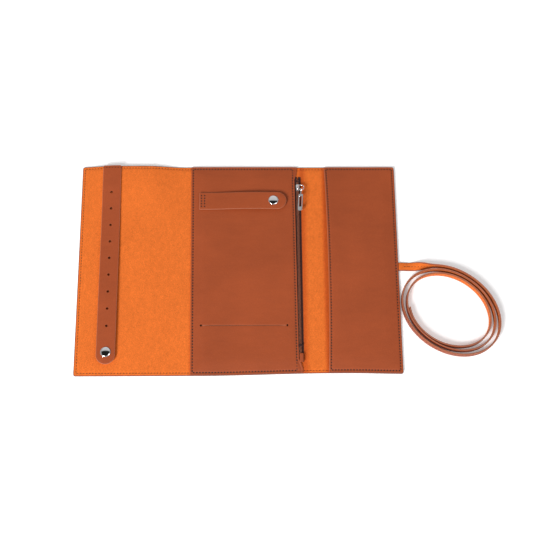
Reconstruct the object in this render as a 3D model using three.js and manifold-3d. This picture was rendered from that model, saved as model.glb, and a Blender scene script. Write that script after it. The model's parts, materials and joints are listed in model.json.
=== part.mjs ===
// Leather jewellery case, opened out flat: two wings fold over a centre panel along two soft spines.
// Millimetres. X runs across the fold lines, Y along them, Z up from the table the case lies on.
// The origin is the middle of the open case, on the table.

import * as THREE from 'three';
import { mergeVertices } from 'three/addons/utils/BufferGeometryUtils.js';
import Module from 'manifold-3d';

const wasm = await Module();
wasm.setup();

// ---------------------------------------------------------------- driving dimensions

const CASE_WIDTH = 336;
const CASE_DEPTH = 230;
const CORNER_RADIUS = 2;

const OUTER_LEATHER = 1.2;
const SUEDE_LINING = 0.8;
const POCKET_LEATHER = 1.2;
const GLUE_LINE = 0.05;
const CREASE_GAP = 0.3;
const LINING_INSET = 0.4;

// Fold lines: each side folds along two creases with a soft spine between them.
const LEFT_WING_FOLD = -61.8;
const LEFT_SPINE_FOLD = -50.3;
const RIGHT_SPINE_FOLD = 70;
const RIGHT_WING_FOLD = 91.3;

// Pockets.
const POCKET_RIM = 4;
const CENTRE_POCKET_LEFT = -49.8;
const CENTRE_POCKET_RIGHT = 64.5;
const CENTRE_POCKET_ZIP_EDGE = 61.6;
const ZIP_MOUTH_TOP = 102;
const ZIP_MOUTH_STEP = 6;
const CENTRE_POCKET_HOLLOW = 1.15;
const RIGHT_POCKET_LEFT = 91.8;
const RIGHT_POCKET_HOLLOW = 0.8;
const SLIT_LEFT = -39;
const SLIT_RIGHT = 51.5;
const SLIT_Y = -63;
const SLIT_WIDTH = 0.6;
const SLIT_END_RADIUS = 1;
const DIVIDER_THICKNESS = 0.4;

// Zip: two coils on two tapes, with a slot between them for the slider's neck.
const ZIP_X = 64.6;
const ZIP_SLOT = 1.2;
const COIL_WIDTH = 1.6;
const COIL_HEIGHT = 1.4;
const TAPE_THICKNESS = 0.4;
const TAPE_HALF_LENGTH = 103;
const SLIDER_Y = 88.8;
const SLIDER_LENGTH = 9;
const SLIDER_WIDTH = 7.2;
const PULL_LENGTH = 21.5;
const PULL_WIDTH = 5.2;
const PULL_TILT = 0.15;
const STOP_HEIGHT = 0.6;
const BOTTOM_STOP_Y = -85;
const END_TAB_Y = -96.5;
const END_TAB_LENGTH = 10;

// Straps and their snaps.
const STRAP_WIDTH = 20;
const STRAP_LEATHER = 1;
const STRAP_BACKING = 0.6;
const STRAP_RISE = 1.95;
const RING_STRAP_LEFT = -42.2;
const RING_STRAP_FOLD = -34;
const RING_STRAP_RIGHT = 51.7;
const RING_STRAP_Y = 73.5;
const RING_SNAP_X = 36.7;
const STUD_STRAP_X = -135.7;
const STUD_STRAP_FOLD = 110;
const STUD_STRAP_END = -103.5;
const STUD_SNAP_Y = -91;
const EAR_HOLE_COUNT = 9;
const EAR_HOLE_TOP = 83.7;
const EAR_HOLE_PITCH = 18.4;
const EAR_HOLE_RADIUS = 0.9;
const CAP_RADIUS = 5.25;
const CAP_HEIGHT = 1.4;
const SNAP_POST_RADIUS = 1.3;
const SNAP_HOLE_RADIUS = 1.6;

// Tie strap: a flat double strap that leaves the right wing, turns on edge and lies in a loose coil.
const TIE_WIDTH = 9.2;
const TIE_THICKNESS = 1.6;
const TIE_Y = 0.8;
const TIE_TAIL = 18;
const TIE_LEAD_ROUTE = [[168, 0.8], [176, 0.8], [184, 0.8], [192, 0.6], [199.6, 0.5]];
const COIL_CENTRE = [218.4, -48.4];
const COIL_LONG_RADIUS = 57.2;
const COIL_LONG_SHRINK = 5.4;
const COIL_SHORT_RADIUS = 43.9;
const COIL_SHORT_SHRINK = 3.8;
const COIL_TILT = -0.645;
const COIL_START_ANGLE = 1.809;
const COIL_TURNS = 2.78;
const COIL_STEPS_PER_TURN = 48;

// Seams.
const SEAM_INSET = 2.8;
const THREAD_WIDTH = 0.6;
const THREAD_HEIGHT = 0.3;

// ---------------------------------------------------------------- levels worked out from them

const HALF_WIDTH = CASE_WIDTH / 2;
const HALF_DEPTH = CASE_DEPTH / 2;
const HALF_GAP = CREASE_GAP / 2;
const LINING_Z = OUTER_LEATHER + GLUE_LINE;
const LINING_TOP = LINING_Z + SUEDE_LINING;
const POCKET_Z = LINING_TOP + GLUE_LINE;
const CENTRE_PANEL_Z = POCKET_Z + CENTRE_POCKET_HOLLOW;
const CENTRE_PANEL_TOP = CENTRE_PANEL_Z + POCKET_LEATHER;
const RIGHT_PANEL_TOP = POCKET_Z + RIGHT_POCKET_HOLLOW + POCKET_LEATHER;
const POCKET_HALF_DEPTH = HALF_DEPTH - LINING_INSET;
const TAPE_Z = 2.75;
const COIL_Z = TAPE_Z + TAPE_THICKNESS + GLUE_LINE;
const STRAP_THICKNESS = STRAP_BACKING + GLUE_LINE + STRAP_LEATHER;

const PANELS = [
  ['left_wing', -HALF_WIDTH, LEFT_WING_FOLD],
  ['left_spine', LEFT_WING_FOLD, LEFT_SPINE_FOLD],
  ['centre', LEFT_SPINE_FOLD, RIGHT_SPINE_FOLD],
  ['right_spine', RIGHT_SPINE_FOLD, RIGHT_WING_FOLD],
  ['right_wing', RIGHT_WING_FOLD, HALF_WIDTH],
];

// ---------------------------------------------------------------- materials

function material(colour, roughness, metalness = 0) {
  return new THREE.MeshStandardMaterial({ color: colour, roughness, metalness });
}

const leather = () => material(0xa2502f, 0.55);
const suede = () => material(0xe47433, 0.95);
const cloth = () => material(0x5a2d1d, 0.9);
const zipTape = () => material(0x4a1f1a, 0.85);
const chrome = () => material(0xd9d9dc, 0.12, 1);
const thread = () => material(0x5c2a17, 0.8);

// ---------------------------------------------------------------- shape helpers

function toSolid(geometry) {
  const bare = geometry.clone();
  bare.deleteAttribute('normal');
  bare.deleteAttribute('uv');
  const merged = mergeVertices(bare, 1e-4);
  return new wasm.Manifold(new wasm.Mesh({
    numProp: 3,
    vertProperties: merged.attributes.position.array,
    triVerts: new Uint32Array(merged.index.array),
  }));
}

function toGeometry(solid) {
  const mesh = solid.getMesh();
  const geometry = new THREE.BufferGeometry();
  geometry.setAttribute('position', new THREE.BufferAttribute(mesh.vertProperties, 3));
  geometry.setIndex(new THREE.BufferAttribute(mesh.triVerts, 1));
  geometry.computeVertexNormals();
  return geometry;
}

function rectangle(x0, y0, x1, y1, radius = 0, roundLeft = true, roundRight = true) {
  const left = roundLeft ? radius : 0;
  const right = roundRight ? radius : 0;
  const shape = new THREE.Shape();
  shape.moveTo(x0 + left, y0);
  shape.lineTo(x1 - right, y0);
  if (right) shape.absarc(x1 - right, y0 + right, right, -Math.PI / 2, 0);
  shape.lineTo(x1, y1 - right);
  if (right) shape.absarc(x1 - right, y1 - right, right, 0, Math.PI / 2);
  shape.lineTo(x0 + left, y1);
  if (left) shape.absarc(x0 + left, y1 - left, left, Math.PI / 2, Math.PI);
  shape.lineTo(x0, y0 + left);
  if (left) shape.absarc(x0 + left, y0 + left, left, Math.PI, 1.5 * Math.PI);
  return shape;
}

function plate(shape, thickness, curveSegments = 4) {
  return new THREE.ExtrudeGeometry(shape, { depth: thickness, bevelEnabled: false, curveSegments });
}

function block(x0, y0, z0, x1, y1, z1) {
  const box = new THREE.BoxGeometry(x1 - x0, y1 - y0, z1 - z0);
  return toSolid(box.translate((x0 + x1) / 2, (y0 + y1) / 2, (z0 + z1) / 2));
}

function upright(radius, x, y, z0, z1, sides = 20) {
  const rod = new THREE.CylinderGeometry(radius, radius, z1 - z0, sides);
  return toSolid(rod.rotateX(Math.PI / 2).translate(x, y, (z0 + z1) / 2));
}

// A profile of [radius, height] points turned about the vertical axis.
function turned(profile, segments = 28) {
  const points = profile.map(([radius, height]) => new THREE.Vector2(radius, height));
  return new THREE.LatheGeometry(points, segments).rotateX(Math.PI / 2);
}

function pieceAt(group, name, geometry, finish, x = 0, y = 0, z = 0) {
  const mesh = new THREE.Mesh(geometry, finish);
  mesh.name = name;
  mesh.position.set(x, y, z);
  group.add(mesh);
  return mesh;
}

// ---------------------------------------------------------------- outer leather and lining

function panelOutline(x0, x1, inset) {
  const atLeft = x0 === -HALF_WIDTH;
  const atRight = x1 === HALF_WIDTH;
  const left = atLeft ? x0 + inset : x0 + HALF_GAP;
  const right = atRight ? x1 - inset : x1 - HALF_GAP;
  const top = HALF_DEPTH - inset;
  return rectangle(left, -top, right, top, CORNER_RADIUS, atLeft, atRight);
}

const POST_FLANGE_RADIUS = 3.6;
const POST_FLANGE_HEIGHT = 0.35;
const POST_RECESS_DEPTH = 0.4;

function outerLeather(name, x0, x1) {
  const sheet = plate(panelOutline(x0, x1, 0), OUTER_LEATHER);
  if (name !== 'left_wing') return sheet;
  const floor = OUTER_LEATHER - POST_RECESS_DEPTH;
  const recessRadius = POST_FLANGE_RADIUS + CREASE_GAP;
  const recess = upright(recessRadius, STUD_STRAP_X, STUD_SNAP_Y, floor, OUTER_LEATHER + 1);
  return toGeometry(toSolid(sheet).subtract(recess));
}

function lining(name, x0, x1) {
  const sheet = plate(panelOutline(x0, x1, LINING_INSET), SUEDE_LINING);
  if (name === 'left_wing') {
    const hole = upright(SNAP_HOLE_RADIUS, STUD_STRAP_X, STUD_SNAP_Y, -1, 2);
    return toGeometry(toSolid(sheet).subtract(hole));
  }
  if (name === 'right_wing') return toGeometry(toSolid(sheet).subtract(tieTailRoom(-1, 2)));
  return sheet;
}

function tieTailRoom(z0, z1) {
  const halfWidth = TIE_WIDTH / 2 + CREASE_GAP;
  const inner = HALF_WIDTH - TIE_TAIL - CREASE_GAP;
  return block(inner, TIE_Y - halfWidth, z0, HALF_WIDTH + 1, TIE_Y + halfWidth, z1);
}

// ---------------------------------------------------------------- pockets

function outlineOf(corners) {
  return new THREE.Shape(corners.map(([x, y]) => new THREE.Vector2(x, y)));
}

// The centre panel steps in along the zip and comes back out to the seam at its two ends.
function centrePocketOutline() {
  const shape = new THREE.Shape();
  const end = POCKET_HALF_DEPTH;
  shape.moveTo(CENTRE_POCKET_LEFT, -end);
  shape.lineTo(CENTRE_POCKET_RIGHT, -end);
  shape.lineTo(CENTRE_POCKET_RIGHT, -ZIP_MOUTH_TOP - ZIP_MOUTH_STEP);
  shape.lineTo(CENTRE_POCKET_ZIP_EDGE, -ZIP_MOUTH_TOP);
  shape.lineTo(CENTRE_POCKET_ZIP_EDGE, ZIP_MOUTH_TOP);
  shape.lineTo(CENTRE_POCKET_RIGHT, ZIP_MOUTH_TOP + ZIP_MOUTH_STEP);
  shape.lineTo(CENTRE_POCKET_RIGHT, end);
  shape.lineTo(CENTRE_POCKET_LEFT, end);
  return shape;
}

function centrePocket() {
  const panel = toSolid(plate(centrePocketOutline(), POCKET_LEATHER));
  const above = POCKET_LEATHER + 1;
  const halfSlit = SLIT_WIDTH / 2;
  const slit = block(SLIT_LEFT, SLIT_Y - halfSlit, -1, SLIT_RIGHT, SLIT_Y + halfSlit, above);
  const slitEnds = [SLIT_LEFT, SLIT_RIGHT].map((x) => upright(SLIT_END_RADIUS, x, SLIT_Y, -1, above));
  const postHole = upright(SNAP_HOLE_RADIUS, RING_SNAP_X, RING_STRAP_Y, -1, above);
  const cuts = [slit, ...slitEnds, postHole];
  return toGeometry(cuts.reduce((solid, cut) => solid.subtract(cut), panel));
}

// The hem turned under the centre panel's three sewn sides, which holds it off the lining.
function centrePocketHem() {
  const end = POCKET_HALF_DEPTH;
  const inside = end - POCKET_RIM;
  const left = CENTRE_POCKET_LEFT;
  const right = CENTRE_POCKET_RIGHT;
  const innerLeft = left + POCKET_RIM;
  const corners = [[left, -end], [right, -end], [right, -inside], [innerLeft, -inside],
    [innerLeft, inside], [right, inside], [right, end], [left, end]];
  return plate(outlineOf(corners), CENTRE_POCKET_HOLLOW - GLUE_LINE);
}

function pocketDivider() {
  const inside = POCKET_HALF_DEPTH - POCKET_RIM - CREASE_GAP;
  const left = CENTRE_POCKET_LEFT + POCKET_RIM + CREASE_GAP;
  return plate(rectangle(left, -inside, CENTRE_POCKET_ZIP_EDGE - 1.6, inside), DIVIDER_THICKNESS);
}

// Sewn at the top, right and bottom, and open towards the spine.
function rightPocket() {
  const right = HALF_WIDTH - LINING_INSET;
  const end = POCKET_HALF_DEPTH;
  return plate(rectangle(RIGHT_POCKET_LEFT, -end, right, end, CORNER_RADIUS, false), POCKET_LEATHER);
}

// The hem under the right panel runs along one long seam and down to the tie's sewn end.
function rightPocketHem(side) {
  const right = HALF_WIDTH - LINING_INSET;
  const left = RIGHT_POCKET_LEFT;
  const innerRight = right - POCKET_RIM;
  const end = POCKET_HALF_DEPTH;
  const inside = end - POCKET_RIM;
  const start = side * TIE_Y + TIE_WIDTH / 2 + CREASE_GAP;
  const corner = CORNER_RADIUS;
  const corners = [[innerRight, start], [right, start], [right, end - corner], [right - corner, end],
    [left, end], [left, inside], [innerRight, inside]];
  const turned = side > 0 ? corners : corners.map(([x, y]) => [x, -y]).reverse();
  return plate(outlineOf(turned), RIGHT_POCKET_HOLLOW - GLUE_LINE);
}

// ---------------------------------------------------------------- zip

function zipTapeLeft() {
  const right = ZIP_X - ZIP_SLOT / 2;
  return plate(rectangle(right - 10, -TAPE_HALF_LENGTH, right, TAPE_HALF_LENGTH), TAPE_THICKNESS);
}

// The right tape runs out from the coil, turns down and is sewn flat to the lining.
function zipTapeRight() {
  const left = ZIP_X + ZIP_SLOT / 2;
  const bend = left + 2.4;
  const foot = RIGHT_SPINE_FOLD - 0.4;
  const top = TAPE_Z + TAPE_THICKNESS;
  const section = new THREE.Shape();
  section.moveTo(left, top);
  section.lineTo(left, TAPE_Z);
  section.lineTo(bend, TAPE_Z);
  section.lineTo(bend, POCKET_Z);
  section.lineTo(foot, POCKET_Z);
  section.lineTo(foot, POCKET_Z + TAPE_THICKNESS);
  section.lineTo(bend + TAPE_THICKNESS, POCKET_Z + TAPE_THICKNESS);
  section.lineTo(bend + TAPE_THICKNESS, top);
  return plate(section, 2 * TAPE_HALF_LENGTH).rotateX(Math.PI / 2);
}

function zipCoil() {
  const halfWidth = COIL_WIDTH / 2;
  const section = new THREE.Shape();
  section.moveTo(-halfWidth, 0);
  section.lineTo(halfWidth, 0);
  section.lineTo(halfWidth, COIL_HEIGHT - 0.4);
  section.lineTo(halfWidth - 0.4, COIL_HEIGHT);
  section.lineTo(0.4 - halfWidth, COIL_HEIGHT);
  section.lineTo(-halfWidth, COIL_HEIGHT - 0.4);
  return plate(section, 2 * TAPE_HALF_LENGTH - 6).rotateX(Math.PI / 2);
}

const SLIDER_TOP = 5.55;
const BRIDGE_Z = 8.2;
const BRIDGE_HALF_HEIGHT = 0.4;

// Upper and lower plates, the neck that joins them through the slot, side guides and the bridge on top.
function zipSlider() {
  const half = SLIDER_LENGTH / 2;
  const upperZ = COIL_Z + COIL_HEIGHT + 0.15;
  const upper = block(-SLIDER_WIDTH / 2, -half, upperZ, SLIDER_WIDTH / 2, half, SLIDER_TOP);
  const lower = block(-2.6, -half, TAPE_Z - 0.6, 2.6, half, TAPE_Z - 0.15);
  const neck = block(-0.4, -half + 1, TAPE_Z - 0.2, 0.4, half - 1, upperZ + 0.1);
  const guides = [-2.5, 2.45].map((x) => block(x - 0.15, -half, COIL_Z + 0.2, x + 0.2, half, upperZ + 0.1));
  const barEnd = half - 0.4;
  const bar = block(-0.5, -barEnd, BRIDGE_Z - BRIDGE_HALF_HEIGHT, 0.5, barEnd, BRIDGE_Z + BRIDGE_HALF_HEIGHT);
  const posts = [-barEnd, barEnd - 0.8].map((y) => block(-0.5, y, SLIDER_TOP - 0.1, 0.5, y + 0.8, BRIDGE_Z));
  return toGeometry([lower, neck, ...guides, bar, ...posts].reduce((solid, part) => solid.add(part), upper));
}

const RING_HALF_WIDTH = 3.2;
const RING_HALF_LENGTH = 4;
const RING_WIRE = 0.45;
const RING_CENTRE = [66.4, SLIDER_Y - 0.8, BRIDGE_Z];
const RING_TILT = -0.47;

// An oval wire link looped round the slider's bridge.
function zipRing() {
  const torus = new THREE.TorusGeometry(1, RING_WIRE / 3.7, 8, 28);
  return torus.scale(RING_HALF_WIDTH, RING_HALF_LENGTH, 3.7);
}

// A flat tab on a narrow neck, curled into an eye round the link.
function zipPull() {
  const eyeRadius = 1.4;
  const thickness = 1;
  const rod = (radius, width) => {
    const cylinder = new THREE.CylinderGeometry(radius, radius, width, 16);
    return toSolid(cylinder.rotateZ(Math.PI / 2));
  };
  const neck = block(-0.65, -7, -thickness / 2, 0.65, -1, thickness / 2);
  const outline = rectangle(-PULL_WIDTH / 2, -PULL_LENGTH, PULL_WIDTH / 2, -4.6, 1.6);
  const tab = toSolid(plate(outline, thickness, 5).translate(0, 0, -thickness / 2));
  const slot = block(-1, -15.6, -thickness, 1, -8.4, thickness);
  return toGeometry(rod(eyeRadius, 1.3).add(neck).add(tab).subtract(slot).subtract(rod(0.85, 2)));
}

function zipStop(width) {
  return new THREE.BoxGeometry(width, 2, STOP_HEIGHT);
}

function zipEndTab() {
  return plate(rectangle(-2, -END_TAB_LENGTH / 2, 2, END_TAB_LENGTH / 2, 0.6), 0.9);
}

// ---------------------------------------------------------------- straps

// A strap layer runs along +X from the fold line, rises gently to the snap and has a round end.
function strapLayer(length, level, thickness, holes) {
  const half = STRAP_WIDTH / 2;
  const steps = 16;
  const rise = (x) => level + STRAP_RISE * THREE.MathUtils.smoothstep(x, 0, length - 2.5 * half);
  const stations = Array.from({ length: steps + 1 }, (_, i) => (length * i) / steps);
  const section = new THREE.Shape();
  stations.forEach((x) => (x === 0 ? section.moveTo(x, rise(x)) : section.lineTo(x, rise(x))));
  stations.reverse().forEach((x) => section.lineTo(x, rise(x) + thickness));
  const ribbon = toSolid(plate(section, STRAP_WIDTH).rotateX(Math.PI / 2).translate(0, half, 0));
  const outline = new THREE.Shape();
  outline.moveTo(0, -half);
  outline.lineTo(length - half, -half);
  outline.absarc(length - half, 0, half, -Math.PI / 2, Math.PI / 2);
  outline.lineTo(0, half);
  const column = toSolid(plate(outline, 20, 14).translate(0, 0, -5));
  const cuts = holes.map(([x, radius]) => upright(radius, x, 0, -5, 15, 16));
  return toGeometry(cuts.reduce((solid, cut) => solid.subtract(cut), ribbon.intersect(column)));
}

function strapPair(group, name, length, holes, place) {
  const [x, y, z, turn] = place;
  const back = strapLayer(length, 0, STRAP_BACKING, holes);
  const face = strapLayer(length, STRAP_BACKING + GLUE_LINE, STRAP_LEATHER, holes);
  const under = pieceAt(group, `${name}_backing`, back, suede(), x, y, z);
  const over = pieceAt(group, name, face, leather(), x, y, z);
  under.rotation.z = turn;
  over.rotation.z = turn;
}

// ---------------------------------------------------------------- snaps

const STUD_HEIGHT = 1.5;
const SOCKET_HEIGHT = 1.5;
const SOCKET_LIFT = 0.6;

// Domed cap whose rivet goes down through the strap.
function snapCap() {
  const rivet = STRAP_THICKNESS + 0.2;
  const dome = Array.from({ length: 6 }, (_, i) => {
    const angle = (i / 5) * (Math.PI / 2);
    return [CAP_RADIUS * Math.cos(angle), 0.4 + (CAP_HEIGHT - 0.4) * Math.sin(angle)];
  });
  dome[5][0] = 0;
  const stem = [[0, -rivet], [SNAP_POST_RADIUS, -rivet], [SNAP_POST_RADIUS, 0]];
  return turned([...stem, [CAP_RADIUS - 0.3, 0], ...dome]);
}

function snapSocket() {
  return turned([[SNAP_HOLE_RADIUS, 1.1], [2.75, 1.1], [2.75, 0], [4.6, 0], [4.6, SOCKET_HEIGHT],
    [SNAP_HOLE_RADIUS, SOCKET_HEIGHT], [SNAP_HOLE_RADIUS, 1.1]]);
}

function snapStud() {
  return turned([[0, 1.1], [SNAP_HOLE_RADIUS, 1.1], [SNAP_HOLE_RADIUS, 0], [4.4, 0], [4.4, 0.4], [2.1, 0.4],
    [2.1, 0.8], [2.4, 1.2], [2.2, STUD_HEIGHT], [0, STUD_HEIGHT]]);
}

function snapPost(reach) {
  return turned([[0, 0], [POST_FLANGE_RADIUS, 0], [POST_FLANGE_RADIUS, POST_FLANGE_HEIGHT],
    [SNAP_POST_RADIUS, POST_FLANGE_HEIGHT], [SNAP_POST_RADIUS, reach], [0, reach]]);
}

// panelTop and panelBottom are the faces that the stud and its post grip.
function snap(group, name, x, y, panelTop, panelBottom) {
  const studZ = panelTop + GLUE_LINE;
  const socketZ = studZ + SOCKET_LIFT;
  const capZ = socketZ + SOCKET_HEIGHT + STRAP_THICKNESS + 2 * GLUE_LINE;
  const postZ = panelBottom - GLUE_LINE - POST_FLANGE_HEIGHT;
  pieceAt(group, `${name}_post`, snapPost(studZ + 0.9 - postZ), chrome(), x, y, postZ);
  pieceAt(group, `${name}_stud`, snapStud(), chrome(), x, y, studZ);
  pieceAt(group, `${name}_socket`, snapSocket(), chrome(), x, y, socketZ);
  pieceAt(group, `${name}_cap`, snapCap(), chrome(), x, y, capZ);
}

// ---------------------------------------------------------------- tie strap

// A point of the coil after so many turns, pushed outwards by offset.
function coilPoint(turns, offset) {
  const angle = COIL_START_ANGLE - 2 * Math.PI * turns - COIL_TILT;
  const long = (COIL_LONG_RADIUS - COIL_LONG_SHRINK * turns + offset) * Math.cos(angle);
  const short = (COIL_SHORT_RADIUS - COIL_SHORT_SHRINK * turns + offset) * Math.sin(angle);
  return new THREE.Vector2(long, short).rotateAround(new THREE.Vector2(), COIL_TILT);
}

function turnOutline(firstTurn, offset) {
  const steps = COIL_STEPS_PER_TURN;
  return Array.from({ length: steps + 1 }, (_, i) => coilPoint(firstTurn + i / steps, offset));
}

// The envelope of all the turns: outer side of the first turn, inner side of the last one.
function coilRing(grow) {
  const margin = TIE_THICKNESS / 2 + 0.1 + grow;
  const ring = new THREE.Shape(turnOutline(0, margin).reverse());
  ring.holes.push(new THREE.Path(turnOutline(COIL_TURNS - 1, -margin)));
  return plate(ring, TIE_WIDTH);
}

function tieTail() {
  const half = TIE_WIDTH / 2;
  return plate(rectangle(-TIE_TAIL, -half, -0.1, half), TIE_THICKNESS);
}

// The stretch from the wing to the coil, trimmed where it meets the coil's first turn.
function tieLead() {
  const [endX, endY] = TIE_LEAD_ROUTE[TIE_LEAD_ROUTE.length - 1];
  const middle = TIE_THICKNESS / 2 + LINING_Z;
  const route = TIE_LEAD_ROUTE.map(([x, y]) => new THREE.Vector3(Math.max(x, HALF_WIDTH + 0.2), y, middle));
  const half = TIE_WIDTH / 2;
  const section = new THREE.Shape();
  const chamfer = 0.3;
  const edge = TIE_THICKNESS / 2;
  section.moveTo(-edge + chamfer, -half);
  section.lineTo(edge - chamfer, -half);
  section.lineTo(edge, -half + chamfer);
  section.lineTo(edge, half - chamfer);
  section.lineTo(edge - chamfer, half);
  section.lineTo(-edge + chamfer, half);
  section.lineTo(-edge, half - chamfer);
  section.lineTo(-edge, -half + chamfer);
  const extrudePath = new THREE.CatmullRomCurve3(route);
  const ribbon = new THREE.ExtrudeGeometry(section, { steps: 12, extrudePath, bevelEnabled: false });
  const coil = toSolid(coilRing(CREASE_GAP).translate(COIL_CENTRE[0], COIL_CENTRE[1], 0));
  const beyond = block(endX - CREASE_GAP, endY - 20, -1, endX + 20, endY + 20, 20);
  return toGeometry(toSolid(ribbon).subtract(coil).subtract(beyond));
}

// ---------------------------------------------------------------- seams

// A closed run of thread round a panel.
function seamLoop(x0, y0, x1, y1) {
  const shape = rectangle(x0, y0, x1, y1);
  const w = THREAD_WIDTH;
  shape.holes.push(rectangle(x0 + w, y0 + w, x1 - w, y1 - w));
  return plate(shape, THREAD_HEIGHT);
}

// Thread along the top, left and bottom of the left wing, passing through the end of the stud strap.
function leftWingSeam() {
  const w = THREAD_WIDTH;
  const left = SEAM_INSET - HALF_WIDTH;
  const right = LEFT_WING_FOLD - CREASE_GAP;
  const top = HALF_DEPTH - SEAM_INSET;
  const run = [[left, -top], [right, -top], [right, w - top], [left + w, w - top], [left + w, top - w],
    [right, top - w], [right, top], [left, top]];
  return plate(outlineOf(run), THREAD_HEIGHT);
}

function spineSeam(x0, x1) {
  return plate(rectangle(x0 + CREASE_GAP, 0, x1 - CREASE_GAP, THREAD_WIDTH), THREAD_HEIGHT);
}

// ---------------------------------------------------------------- assembly

const leatherCase = new THREE.Group();

function addPanels() {
  PANELS.forEach(([name, x0, x1]) => {
    pieceAt(leatherCase, `outer_${name}`, outerLeather(name, x0, x1), leather());
    pieceAt(leatherCase, `lining_${name}`, lining(name, x0, x1), suede(), 0, 0, LINING_Z);
  });
}

function addPockets() {
  pieceAt(leatherCase, 'centre_pocket', centrePocket(), leather(), 0, 0, POCKET_Z + CENTRE_POCKET_HOLLOW);
  pieceAt(leatherCase, 'centre_pocket_hem', centrePocketHem(), leather(), 0, 0, POCKET_Z);
  pieceAt(leatherCase, 'pocket_divider', pocketDivider(), cloth(), 0, 0, POCKET_Z + GLUE_LINE);
  pieceAt(leatherCase, 'right_pocket', rightPocket(), leather(), 0, 0, POCKET_Z + RIGHT_POCKET_HOLLOW);
  [['top', 1], ['bottom', -1]].forEach(([name, side]) => {
    pieceAt(leatherCase, `right_pocket_hem_${name}`, rightPocketHem(side), leather(), 0, 0, POCKET_Z);
  });
}

function addZip() {
  const zip = new THREE.Group();
  const coilOffset = (ZIP_SLOT + COIL_WIDTH) / 2;
  const coilTop = COIL_Z + COIL_HEIGHT;
  const coilEnd = TAPE_HALF_LENGTH - 3;
  const stopZ = coilTop + GLUE_LINE + STOP_HEIGHT / 2;
  pieceAt(zip, 'zip_tape_left', zipTapeLeft(), zipTape(), 0, 0, TAPE_Z);
  pieceAt(zip, 'zip_tape_right', zipTapeRight(), zipTape(), 0, TAPE_HALF_LENGTH, 0);
  [['left', -1], ['right', 1]].forEach(([side, sign]) => {
    const x = ZIP_X + sign * coilOffset;
    pieceAt(zip, `zip_coil_${side}`, zipCoil(), zipTape(), x, coilEnd, COIL_Z);
    pieceAt(zip, `zip_top_stop_${side}`, zipStop(COIL_WIDTH), chrome(), x, coilEnd - 3, stopZ);
  });
  pieceAt(zip, 'zip_bottom_stop', zipStop(4.6), chrome(), ZIP_X, BOTTOM_STOP_Y, stopZ);
  pieceAt(zip, 'zip_end_tab', zipEndTab(), leather(), ZIP_X, END_TAB_Y, coilTop + 2 * GLUE_LINE);
  pieceAt(zip, 'zip_slider', zipSlider(), chrome(), ZIP_X, SLIDER_Y, 0);
  const ring = pieceAt(zip, 'zip_ring', zipRing(), chrome(), ...RING_CENTRE);
  ring.rotation.x = RING_TILT;
  const eyeY = RING_CENTRE[1] - RING_HALF_LENGTH * Math.cos(RING_TILT);
  const eyeZ = RING_CENTRE[2] - RING_HALF_LENGTH * Math.sin(RING_TILT);
  const pull = pieceAt(zip, 'zip_pull', zipPull(), chrome(), RING_CENTRE[0], eyeY, eyeZ);
  pull.rotation.x = PULL_TILT;
  leatherCase.add(zip);
}

function addRingStrap() {
  const strap = new THREE.Group();
  const top = CENTRE_PANEL_TOP;
  const anchorLength = RING_STRAP_FOLD - HALF_GAP - RING_STRAP_LEFT;
  const half = STRAP_WIDTH / 2;
  const anchor = plate(rectangle(0, -half, anchorLength, half, 1, true, false), STRAP_THICKNESS);
  pieceAt(strap, 'ring_strap_anchor', anchor, leather(), RING_STRAP_LEFT, RING_STRAP_Y, top + GLUE_LINE);
  const start = RING_STRAP_FOLD + HALF_GAP;
  const length = RING_STRAP_RIGHT - start;
  const holes = [[RING_SNAP_X - start, SNAP_HOLE_RADIUS]];
  strapPair(strap, 'ring_strap', length, holes, [start, RING_STRAP_Y, top + 0.25, 0]);
  snap(strap, 'ring_snap', RING_SNAP_X, RING_STRAP_Y, top, CENTRE_PANEL_Z);
  const seam = seamLoop(1.2, -half + 2, 6.2, half - 2);
  const seamZ = top + STRAP_THICKNESS + 2 * GLUE_LINE;
  pieceAt(strap, 'seam_ring_strap', seam, thread(), RING_STRAP_LEFT, RING_STRAP_Y, seamZ);
  leatherCase.add(strap);
}

function addStudStrap() {
  const strap = new THREE.Group();
  const half = STRAP_WIDTH / 2;
  const end = plate(rectangle(-half, STUD_STRAP_FOLD + HALF_GAP, half, POCKET_HALF_DEPTH), STRAP_THICKNESS);
  const seamY = HALF_DEPTH - SEAM_INSET;
  const roomFrom = seamY - THREAD_WIDTH - 0.1;
  const threadRoom = block(-half - 1, roomFrom, -1, half + 1, seamY + 0.1, THREAD_HEIGHT + 0.1);
  const anchor = toGeometry(toSolid(end).subtract(threadRoom));
  pieceAt(strap, 'stud_strap_anchor', anchor, leather(), STUD_STRAP_X, 0, LINING_TOP + GLUE_LINE);
  const start = STUD_STRAP_FOLD - HALF_GAP;
  const earHoles = Array.from({ length: EAR_HOLE_COUNT }, (_, i) => [
    start - EAR_HOLE_TOP + i * EAR_HOLE_PITCH,
    EAR_HOLE_RADIUS,
  ]);
  const holes = [...earHoles, [start - STUD_SNAP_Y, SNAP_HOLE_RADIUS]];
  const place = [STUD_STRAP_X, start, LINING_TOP + 0.25, -Math.PI / 2];
  strapPair(strap, 'stud_strap', start - STUD_STRAP_END, holes, place);
  snap(strap, 'stud_snap', STUD_STRAP_X, STUD_SNAP_Y, LINING_TOP, LINING_Z);
  leatherCase.add(strap);
}

function addTie() {
  const tie = new THREE.Group();
  pieceAt(tie, 'tie_tail', tieTail(), leather(), HALF_WIDTH, TIE_Y, LINING_Z);
  pieceAt(tie, 'tie_lead', tieLead(), leather());
  pieceAt(tie, 'tie_coil', coilRing(0), leather(), COIL_CENTRE[0], COIL_CENTRE[1], 0);
  leatherCase.add(tie);
}

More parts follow.
